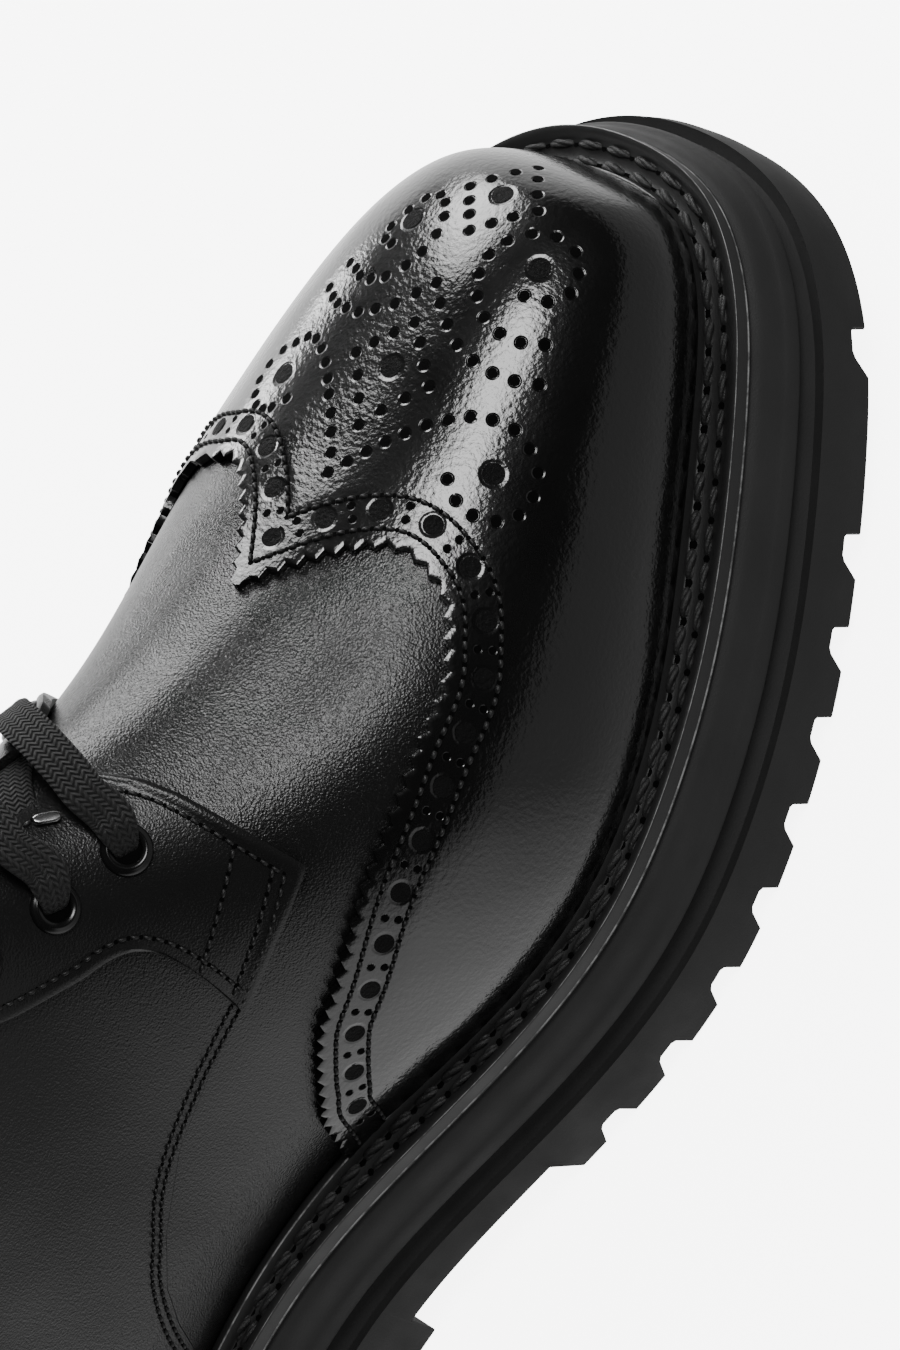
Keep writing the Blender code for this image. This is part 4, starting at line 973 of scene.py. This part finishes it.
# Quarters: front seam and the edge hidden under the facing, as across and row.
quarter = dict(lift=0.0009, thickness=0.0019, liningDepth=0.00105, seamRows=(0.0015, 0.0033),
               collarRows=(22.8, 22.66), ease=0.5, easeReach=1.3, easeSteps=60)
quarterSewing = dict(pitch=0.0021, length=0.0017, width=0.00075, rise=0.00038, hole=0.00040)
quarterFront = ((0.0, 11.14), (0.10, 11.12), (0.157, 10.95), (0.215, 10.87), (0.311, 10.81), (0.405, 10.76),
                (0.479, 11.28), (0.545, 11.79), (0.559, 11.859), (0.619, 12.50), (0.662, 13.0),
                (0.741, 13.60), (0.801, 13.86), (0.86, 13.94), (0.924, 13.93), (1.0, 13.88))
seamLine = ((11.80, 0.5535), (11.859, 0.559), (12.15, 0.587), (12.50, 0.619), (13.0, 0.662), (13.36, 0.70),
            (13.60, 0.741), (13.76, 0.77), (13.86, 0.801), (13.94, 0.86), (13.93, 0.924), (13.90, 0.975))

# Facings: outlines and stitch lines as row and across, and the lower edge's partner rows at the throat.
facing = dict(lift=0.0026, thickness=0.0018, edgeStitch=0.0024, frontStitch=0.0030, depth=0.0225, skew=0.15,
              along=170, down=44, box=40, roll=0.0005, rollPlace=0.0011, rollWidth=0.0010)
facingSewing = dict(pitch=0.0023, length=0.0019, width=0.00080, rise=0.00040, hole=0.00044)
facingFront = ((10.965, 0.102), (10.777, 0.157), (10.69, 0.215), (10.633, 0.311), (10.579, 0.413))
facingLower = ((11.833, 0.550), (11.819, 0.491), (11.891, 0.413), (12.062, 0.381), (12.379, 0.378),
               (12.774, 0.376), (13.494, 0.366))
facingPartner = (12.0, 12.06, 12.16, 12.3, 12.55, 12.9, 13.55)
facingUpRows = (15.0, 17.0, 19.0, 21.0, collarRow - 0.03)
facingKnots = (2.0, 2.22, 2.5, 2.72, 3.0, 3.4, 4.0, 5.2, 6.6, 8.0, 9.4, 11.0)
boxLines = (((10.80, 0.327), (11.3, 0.392), (11.83, 0.462)),
            ((10.74, 0.384), (11.25, 0.449), (11.80, 0.517)),
            ((10.73, 0.402), (11.24, 0.467), (11.81, 0.535)))


def skewed(row, side):
    if side < 0:
        return row
    start = facingFront[-1][0]
    return row - facing["skew"] * np.clip(1 - (row - start) / (collarRow - start), 0, 1)


# A line of the outer pattern, on one side of the boot.
def onSide(line, side):
    line = np.array(line)
    return np.stack([skewed(line[:, 0], side), side * line[:, 1]], axis=1)


# Rows and places across of lines at given distances beside a line on the skin, all of them to its left,
# or all to its right where right is true.
def linesBeside(line, count, distances, right=False, smooth=True, reach=0.004):
    row, across, _ = evenPath(line, count, smooth)
    rows, places = marchBeside(row, across, -reach if right else reach, 8)
    return [[t[0] for t in readBeside(rows, places, reach, np.full((1, count), at))] for at in distances]


# A grid of points smoothed along its rows where the sections change from the foot to the back seam.
def eased(points, row):
    weight = quarter["ease"] * np.exp(-((row - backSeamRow) / quarter["easeReach"])**2)[1:-1, :, None]
    for _ in range(quarter["easeSteps"]):
        between = (points[:-2] + points[2:]) / 2
        points[1:-1] += weight * (between - points[1:-1])
    return points


def makeQuarter(side):
    word = "outer" if side < 0 else "inner"
    table = np.array(quarterFront)
    c = 1 - (1 - np.linspace(0, 1, 110))**1.15
    front = np.interp(0.1 + 0.9 * c, table[:, 0], table[:, 1])
    row = front + (collarRow - front) * np.linspace(0, 1, 100)[:, None]**1.3
    edge = throatEdge(row)
    across = side * np.clip(edge + (1 - edge) * c, 0, 0.9995)
    row = skewed(row, side)
    top, bottom = (eased(skin(row, across, lift), row)
                   for lift in (quarter["lift"], quarter["lift"] - quarter["thickness"]))
    sheet(f"quarter_{word}", top, bottom, calfLeather, **onUpper)
    row, across = row[::3, ::3], across[::3, ::3]
    sheet(f"lining_{word}", skin(row, across, -quarter["liningDepth"]), skin(row, across, -boot["wall"]),
          liningLeather, rounding=0, **insideUpper)
    seams = []
    for row, across in linesBeside(onSide(seamLine, side), 300, quarter["seamRows"], right=side < 0):
        keep = np.abs(across) < 0.975
        seams.append(onSkin(row[keep], across[keep], quarter["lift"]))
    across = side * np.linspace(0.36, 0.97, 200)
    return seams + [onSkin(np.full(200, row), across, quarter["lift"]) for row in quarter["collarRows"]]


# Rows and places across of a facing, on a grid between the throat's edge and the lower edge; its first
# lines are the box at the front.
def facingGrid(side):
    lower = np.array(facingLower)
    lowRow = np.r_[lower[:, 0], facingUpRows]
    lowAcross = np.r_[lower[:, 1], belowThroat(facingUpRows, facing["depth"])]
    knots = np.stack([lowRow, lowAcross, np.r_[facingPartner, facingUpRows]], axis=1)
    box = facing["box"]
    curve = spline(facingKnots, knots, np.linspace(facingKnots[0], facingKnots[-1], facing["along"] - box))
    t = np.linspace(0, 1, box, endpoint=False)
    boxRow = np.interp(t, (0, 0.5, 1), (facingFront[-1][0], 11.223, lower[0, 0]))
    boxAcross = np.interp(t, (0, 0.5, 1), (facingFront[-1][1], 0.479, lower[0, 1]))
    boxTop = facingFront[0][0] + (facingPartner[0] - facingFront[0][0]) * t
    lowRow = np.r_[boxRow, curve[:, 0]]
    lowAcross = np.r_[boxAcross, curve[:, 1]]
    topRow = np.r_[boxTop, curve[:, 2]]
    topAcross = np.where(topRow < throatRow,
                         np.interp(topRow, (facingFront[0][0], throatRow),
                                   (facingFront[0][1], throatEdge(throatRow))), throatEdge(topRow))
    c = np.linspace(0, 1, facing["down"])
    row = topRow[:, None] * (1 - c) + lowRow[:, None] * c
    across = topAcross[:, None] * (1 - c) + lowAcross[:, None] * c
    front = np.array(facingFront)
    bend = np.interp(across[0], front[:, 1], front[:, 0]) - row[0]
    fade = np.clip(1 - np.arange(facing["along"]) / box, 0, 1)[:, None]**2
    return skewed(row + fade * bend, side), side * across


# A facing has its edge turned in, which raises a soft roll beside the front and the lower edge.
def makeFacing(side):
    word = "outer" if side < 0 else "inner"
    row, across = facingGrid(side)
    point = skin(row, across)
    alongGaps = np.linalg.norm(np.diff(point, axis=0), axis=-1)
    downGaps = np.linalg.norm(np.diff(point[:, ::-1], axis=1), axis=-1)
    fromFront = np.pad(np.cumsum(alongGaps, axis=0), ((1, 0), (0, 0)))
    fromLower = np.pad(np.cumsum(downGaps, axis=1)[:, ::-1], ((0, 0), (0, 1)))
    near = np.minimum(fromFront, fromLower)
    roll = facing["roll"] * np.exp(-((near - facing["rollPlace"]) / facing["rollWidth"])**2)
    lift, box = facing["lift"], facing["box"]
    sheet(f"facing_skin_{word}", skin(row, across, lift + roll),
          skin(row, across, lift - facing["thickness"]), facingLeather, rounding=0.0004, segments=3,
          replaces=(f"facing_{word}",), slot="calf_leather")
    lowerEdge = np.stack([row[box:, -1], across[box:, -1]], axis=1)
    throat = np.stack([row[26:, 0], across[26:, 0]], axis=1)
    lines = []
    for line, count, distance, right, smooth, keep in (
            (onSide(facingFront, side), 120, facing["frontStitch"], side < 0, True, slice(10, -10)),
            (lowerEdge, 500, facing["edgeStitch"], side < 0, False, slice(14, -6)),
            (throat, 400, facing["edgeStitch"], side > 0, False, slice(2, -6))):
        [[row, across]] = linesBeside(line, count, (distance,), right, smooth)
        lines.append(onSkin(row[keep], across[keep], lift))
    boxSeams = [onSkin(*evenPath(onSide(line, side), 80, smooth=False)[:2], lift) for line in boxLines]
    return lines[:1] + boxSeams + lines[1:]


seams, facingSeams = [], []
for side in (-1, 1):
    seams += makeQuarter(side)
    facingSeams += makeFacing(side)
makeStitches("quarter_stitches", seams, waxedThread, **quarterSewing, **onUpper)
makeStitches("facing_stitches", facingSeams, waxedThread, **facingSewing,
             replaces=("facing_outer", "facing_inner"), slot="calf_leather")

backStay = dict(first=18.10, halfWidth=0.009, stitchInset=0.0024, lift=0.0022, thickness=0.0014)
backStaySewing = dict(pitch=0.0023, length=0.0018, width=0.0006, rise=0.0003, hole=0.00038)


def makeBackStay():
    row = np.linspace(backStay["first"], collarRow - 0.02, 60)[:, None]
    reach = 1 - besideBackSeam(row, backStay["halfWidth"])
    u = np.linspace(0.02, 1, 12)
    across = np.concatenate([-1 + reach * u[::-1], 1 - reach * u], axis=1)
    sheet("back_stay", skin(row, across, backStay["lift"]),
          skin(row, across, backStay["lift"] - backStay["thickness"]), calfLeather, **onUpper)
    at = np.linspace(backStay["first"] + 0.1, collarRow - 0.1, 200)
    across = besideBackSeam(at, backStay["halfWidth"] - backStay["stitchInset"])
    lines = [onSkin(at, side * across, backStay["lift"]) for side in (-1, 1)]
    makeStitches("back_stay_stitches", lines, waxedThread, **backStaySewing, **onUpper)


makeBackStay()


def makeLiningFront():
    across = np.linspace(-0.99, 0.99, 80)
    last = 11.3 + 2.2 * smoothStep(0.08, 0.5, np.abs(across))
    row = 0.35 + np.linspace(0, 1, 56)[:, None] * (last - 0.35)
    sheet("lining_front", skin(row, across, -quarter["liningDepth"]), skin(row, across, -boot["wall"]),
          liningLeather, rounding=0, **insideUpper)


makeLiningFront()

insole = dict(gap=0.0030, height=0.0321, thickness=0.0015, cup=0.0010)


# Insole sock: its sides curve up with the fourth power of the share across.
def makeInsole():
    ring = offsetEdge(-inset - insole["gap"])
    low, high = ring[:, 0].min(), ring[:, 0].max()
    along = (low + (high - low) * (1 - np.cos(np.linspace(0, math.pi, 150))) / 2)[:, None]
    share = np.linspace(-1, 1, 25)
    outer, inner = (halfWidth(ring, along, side, signed=True) for side in (-1, 1))
    side = -inner + (outer + inner) * (share + 1) / 2
    top = bed(along, insole["height"]) + insole["cup"] * share**4
    sheet("insole_sock", place(along, side, top), place(along, side, top - insole["thickness"]),
          liningLeather, rounding=0, replaces=("insole",), slot="lining_leather")


makeInsole()

tongue = dict(width=0.058, lift=-0.0032, depth=0.0054, puff=0.0012, first=10.6, last=23.8)


# Tongue: padded, so that it puffs up between its edges by 1 - share^4 of the distance across.
def makeTongue():
    row = np.linspace(tongue["first"], tongue["last"], 110)
    reach = np.interp(row, tableRows, acrossAtWidth(tongue["width"] / 2))
    reach = reach * (1 - 0.25 * np.clip(row - collarRow, 0, None))
    share = np.linspace(-1, 1, 60)
    across, row = reach[:, None] * share, row[:, None]
    puff = tongue["puff"] * (1 - share**4) * smoothStep(11.2, 13, row)
    sheet("tongue_leather", skin(row, across, tongue["lift"] + puff), skin(row, across, -tongue["depth"]),
          calfLeather, rounding=0.0006, segments=3, replaces=("tongue",), slot="calf_leather")


makeTongue()
say("upper ready")

lacing = dict(pairs=6, first=0.14, pitch=0.0170, edge=0.0163, skew=0.0090, ring=0.0047, hole=0.0026,
              width=0.0080, thickness=0.0016, arch=0.0045, keeperRow=11.60, keeperAcross=-0.124)
# The lace beside an eyelet: distance from its centre, height over the facing, and width.
laceDive = ((-0.0006, -0.0040, 0.0044), (-0.0004, -0.0012, 0.0046), (0.0004, 0.0006, 0.0051),
            (0.0019, 0.0017, 0.0062), (0.0038, 0.0023, 0.0074), (0.0062, 0.0021, 0.0080))
# Section of an eyelet ring from the hole to its rim: radius and height over the facing.
eyeletProfile = ((lacing["hole"], -0.0012), (lacing["hole"], 0.0004), (lacing["hole"] + 0.00035, 0.0009),
                 (lacing["hole"] + 0.0009, 0.0011), (lacing["ring"] - 0.0008, 0.0009),
                 (lacing["ring"] - 0.0003, 0.0006), (lacing["ring"], 0.0001), (lacing["ring"], -0.0003))


# Centre, direction out of the facing, row and place across of each eyelet, by pair and side.
def eyeletPlaces():
    rows = np.linspace(throatRow, len(sections) - 1, 400)
    run = np.r_[0, np.cumsum(np.linalg.norm(np.diff(upperPoint(rows, np.zeros(400)), axis=0), axis=1))]
    places = {}
    for pair in range(lacing["pairs"]):
        for side in (-1, 1):
            skew = lacing["skew"] * (1 - pair / (lacing["pairs"] - 1)) if side > 0 else 0
            distance = lacing["pitch"] * (lacing["first"] + pair) - skew
            row = np.interp(max(distance, 0), run, rows) + min(distance, 0) / lacing["pitch"]
            across = side * belowThroat(row, lacing["edge"])
            spot, normal = onSkin(np.array([row]), np.array([across]), facing["lift"])
            places[pair, side] = spot[0], normal[0], float(row), float(across)
    return places


def makeEyelets(places, around=48):
    dense = spline(np.arange(len(eyeletProfile)), eyeletProfile, np.linspace(0, len(eyeletProfile) - 1, 18))
    dense = np.vstack([dense, dense[:1]])
    # Inside each eyelet a dark disc of painted shade fills the hole.
    dark = np.array([(0.0002, 0.00012), (lacing["hole"] * 0.5, 0.00012), (lacing["hole"] + 0.0002, 0.00012)])
    turn = np.linspace(0, 2 * math.pi, around, endpoint=False)[:, None]
    for (pair, side), (spot, normal, _, _) in places.items():
        word = f"{'outer' if side < 0 else 'inner'}_{pair + 1}"
        own = dict(replaces=(f"eyelet_{word}",), slot="enamel")
        helper = np.cross(normal, (0, 0, 1))
        helper /= np.linalg.norm(helper)
        spoke = np.cos(turn) * helper + np.sin(turn) * np.cross(normal, helper)
        ring, floor = (spot + line[:, None, :1] * spoke[None] + line[:, None, 1:] * normal
                       for line in (dense, dark))
        newPiece(f"eyelet_ring_{word}", ring, gridQuads(len(dense), around, closed=True), enamel,
                 weld=1e-6, **own)
        newPiece(f"eyelet_hole_shade_{word}", floor, gridQuads(len(dark), around, closed=True)[:, ::-1],
                 paintedHoleShade, solid=False, **own)


# Flat lace along a path: a strip whose broad side faces the given normals. Round its section the width
# follows cos^0.55 and the thickness sin^0.8, which makes it flat with round edges.
def makeLace(name, path, normals, widths, thickness, material, count=110, around=28, **settings):
    knots = np.r_[0, np.cumsum(np.linalg.norm(np.diff(path, axis=0), axis=1))]
    at = np.linspace(0, knots[-1], count)
    dense = spline(knots, np.column_stack([path, normals, widths]), at)
    path, normals, widths = dense[:, :3], dense[:, 3:6], dense[:, 6]
    ahead = np.gradient(path, axis=0)
    ahead /= np.linalg.norm(ahead, axis=1)[:, None]
    aside = np.cross(normals, ahead)
    aside /= np.linalg.norm(aside, axis=1)[:, None]
    up = np.cross(ahead, aside)
    turn = np.linspace(0, 2 * math.pi, around, endpoint=False)
    sideways, upwards = (np.sign(v) * np.abs(v)**power for v, power in
                         ((np.cos(turn), 0.55), (np.sin(turn), 0.8)))
    points = (path[:, None] + aside[:, None] * (widths[:, None] / 2 * sideways)[..., None]
              + up[:, None] * (thickness / 2 * upwards)[:, None])
    piece = newPiece(name, points, tubeQuads(count, around), material, **settings)
    weave = piece.data.attributes.new("weave", "FLOAT_VECTOR", "POINT")
    values = np.stack([np.broadcast_to(at[:, None], (count, around)), widths[:, None] / 2 * sideways,
                       np.broadcast_to(upwards, (count, around))], axis=-1)
    weave.data.foreach_set("vector", np.ascontiguousarray(values, np.float32).ravel())


# End of a lace bar: it rises out of its eyelet and turns flat towards the other one.
def laceEnd(spot, normal, other):
    dive = np.array(laceDive)
    way = other - spot
    way -= normal * (way @ normal)
    way /= np.linalg.norm(way)
    path = spot + way * dive[:, :1] + normal * dive[:, 1:2]
    steep = np.clip(np.linspace(3.0, -0.4, len(dive)), 0, None)[:, None]
    out = normal - way * steep
    return path, out / np.linalg.norm(out, axis=1)[:, None]


def makeLaces(places):
    thickness, width = lacing["thickness"], lacing["width"]
    for pair in range(lacing["pairs"]):
        spotA, normalA, rowA, acrossA = places[pair, -1]
        spotB, normalB, rowB, acrossB = places[pair, 1]
        startPath, startNormal = laceEnd(spotA, normalA, spotB)
        endPath, endNormal = laceEnd(spotB, normalB, spotA)
        share = np.linspace(0.22, 0.78, 9)
        lift = facing["lift"] + thickness / 2 + 0.0003 + lacing["arch"] * np.sin(math.pi * share)
        path, normal = onSkin(rowA + (rowB - rowA) * share, acrossA + (acrossB - acrossA) * share, lift)
        path = np.concatenate([startPath, path, endPath[::-1]])
        normal = np.concatenate([startNormal, normal, endNormal[::-1]])
        taper = np.array(laceDive)[:, 2]
        widths = np.r_[taper, np.full(len(share), width), taper[::-1]]
        makeLace(f"lace_bar_{pair + 1}", path, normal, widths, thickness, laceBraid, **onLaces)
        if pair + 1 == lacing["pairs"]:
            break
        _, _, rowC, acrossC = places[pair + 1, -1]
        share = np.linspace(0, 1, 9)
        path, normal = onSkin(rowB + (rowC - rowB) * share, acrossB + (acrossC - acrossB) * share, 0.0)
        path = path + normal * (-0.0020 + 0.0022 * (1 - (2 * share - 1)**2))[:, None]
        makeLace(f"lace_under_{pair + 1}", path, normal, np.full(9, width), thickness, laceBraid, 40,
                 **onLaces)


# Small bar that lies on the facing between the first two laces.
def makeKeeper():
    share = np.linspace(-1, 1, 7)
    path, normal = onSkin(lacing["keeperRow"] - 0.100 * share, lacing["keeperAcross"] - 0.010 * share,
                          facing["lift"] + 0.0009)
    makeLace("lace_keeper", path, normal, 0.0021 * (1 - np.abs(share)**5 * 0.5), 0.0009, polishedSteel,
             count=24, around=20, replaces=("laces",), slot="enamel")


eyelets = eyeletPlaces()
makeEyelets(eyelets)
makeLaces(eyelets)
makeKeeper()
say("laces ready")

camera = dict(azimuth=-83.65, elevation=51.81, roll=-68.65, target=(-0.0037, -0.0494, 0.0300),
              distance=1.2492, lens=183.7)


# Direction at an azimuth, from the toe's side turning to the inner side, and an elevation.
def towards(azimuth, elevation):
    a, e = math.radians(azimuth), math.radians(elevation)
    return Vector((math.sin(a) * math.cos(e), -math.cos(a) * math.cos(e), math.sin(e)))


def makeCamera():
    back = towards(camera["azimuth"], camera["elevation"])
    roll = math.radians(camera["roll"])
    right = (-back).cross(Vector((0, 0, 1))).normalized()
    up = right.cross(-back)
    localX = right * math.cos(roll) + up * math.sin(roll)
    localY = -right * math.sin(roll) + up * math.cos(roll)
    data = bpy.data.cameras.new("photo_camera")
    data.lens = camera["lens"]
    data.sensor_width = 36
    data.sensor_fit = "AUTO"
    data.clip_end = 50
    holder = bpy.data.objects.new("photo_camera", data)
    bpy.context.scene.collection.objects.link(holder)
    target = Vector(camera["target"]) + Vector((middle, 0, 0))
    turn = Matrix((localX, localY, back)).transposed().to_4x4()
    holder.matrix_world = Matrix.Translation(target + back * camera["distance"]) @ turn
    bpy.context.scene.camera = holder


makeCamera()

# Softboxes: direction from the boot, distance and size in metres, brightness, share of it on matt surfaces.
softboxes = dict(
    key=dict(azimuth=-34, elevation=60, distance=1.3, width=0.62, height=0.56, radiance=9, matt=0.3),
    innerTall=dict(azimuth=48, elevation=28, distance=1.4, width=0.62, height=1.10, radiance=8, matt=0.2),
    innerRim=dict(azimuth=84, elevation=8, distance=1.4, width=0.30, height=0.44, radiance=7, matt=0.0))
# Each is brighter towards its middle: panes of these shares of its size, one before the other.
panes = (1.12, 0.85, 0.55)
# Surroundings: brightness to matt surfaces, and to polished ones above, below, beyond the inner side near
# the horizon and below behind the heel.
studio = dict(centre=(0.0, -0.06, 0.06), skyMatt=0.92, skyGlossy=0.03, groundGlossy=0.36, farGlossy=1.6,
              heelGlossy=0.9, floorGlow=6.0, floorColour="#f6f6f6", floorSize=6.0)


def makeSoftboxes():
    centre = Vector(studio["centre"])
    for name, box in softboxes.items():
        back = towards(box["azimuth"], box["elevation"])
        for number, share in enumerate(panes):
            data = bpy.data.lights.new(f"{name}_{number + 1}", "AREA")
            data.shape = "ELLIPSE"
            data.size, data.size_y = box["width"] * share, box["height"] * share
            area = math.pi / 4 * data.size * data.size_y
            data.energy = box["radiance"] * 2.1 * math.pi * area / len(panes)
            data.diffuse_factor = box["matt"]
            holder = bpy.data.objects.new(data.name, data)
            bpy.context.scene.collection.objects.link(holder)
            holder.location = centre + back * (box["distance"] + 0.002 * number)
            holder.rotation_euler = back.to_track_quat("Z", "Y").to_euler()


makeSoftboxes()


def makeWorld():
    world = bpy.data.worlds.new("studio")
    bpy.context.scene.world = world
    world.use_nodes = True
    tree = world.node_tree
    ray = addNode(tree, "ShaderNodeLightPath").outputs["Is Glossy Ray"]
    direction = addNode(tree, "ShaderNodeTexCoord").outputs["Generated"]
    x, y, z = addNode(tree, "ShaderNodeSeparateXYZ", {0: direction}).outputs
    ground = remap(tree, z, 0.06, -0.06, studio["skyGlossy"], studio["groundGlossy"])
    far = remap(tree, x, 0.35, 0.85, 0.0, studio["farGlossy"])
    low = remap(tree, z, 0.22, 0.0, 0.0, 1.0)
    heel = remap(tree, y, -0.15, 0.45, 0.0, studio["heelGlossy"])
    below = remap(tree, z, 0.0, -0.25, 0.0, 1.0)
    glossy = maths(tree, "MULTIPLY_ADD", far, low, maths(tree, "MULTIPLY_ADD", heel, below, ground))
    strength = addNode(tree, "ShaderNodeMix", {0: ray, 2: studio["skyMatt"], 3: glossy}, data_type="FLOAT")
    feed(tree, tree.nodes["Background"], {"Color": (1, 1, 1, 1), "Strength": strength.outputs[0]})


makeWorld()


# Plain pale floor that stays white by its own glow, without lighting the boot or showing in its gloss.
def makeFloor():
    material, tree, shader, where = newMaterial("pale studio floor")
    feed(tree, shader, {
        "Base Color": linear(studio["floorColour"]), "Specular IOR Level": 0.0,
        "Emission Color": (1, 1, 1, 1), "Emission Strength": studio["floorGlow"],
        "Roughness": remap(tree, noise(tree, where, 0.3), 0.3, 0.7, 0.85, 0.95)})
    half = studio["floorSize"] / 2
    corners = [(-half, -half, 0), (half, -half, 0), (half, half, 0), (-half, half, 0)]
    mesh = bpy.data.meshes.new("studio_floor")
    mesh.from_pydata(corners, [], [(0, 1, 2, 3)])
    mesh.materials.append(material)
    floor = bpy.data.objects.new("studio_floor", mesh)
    bpy.context.scene.collection.objects.link(floor)
    floor.visible_glossy = False
    floor.visible_diffuse = False


makeFloor()

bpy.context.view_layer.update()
say("done")
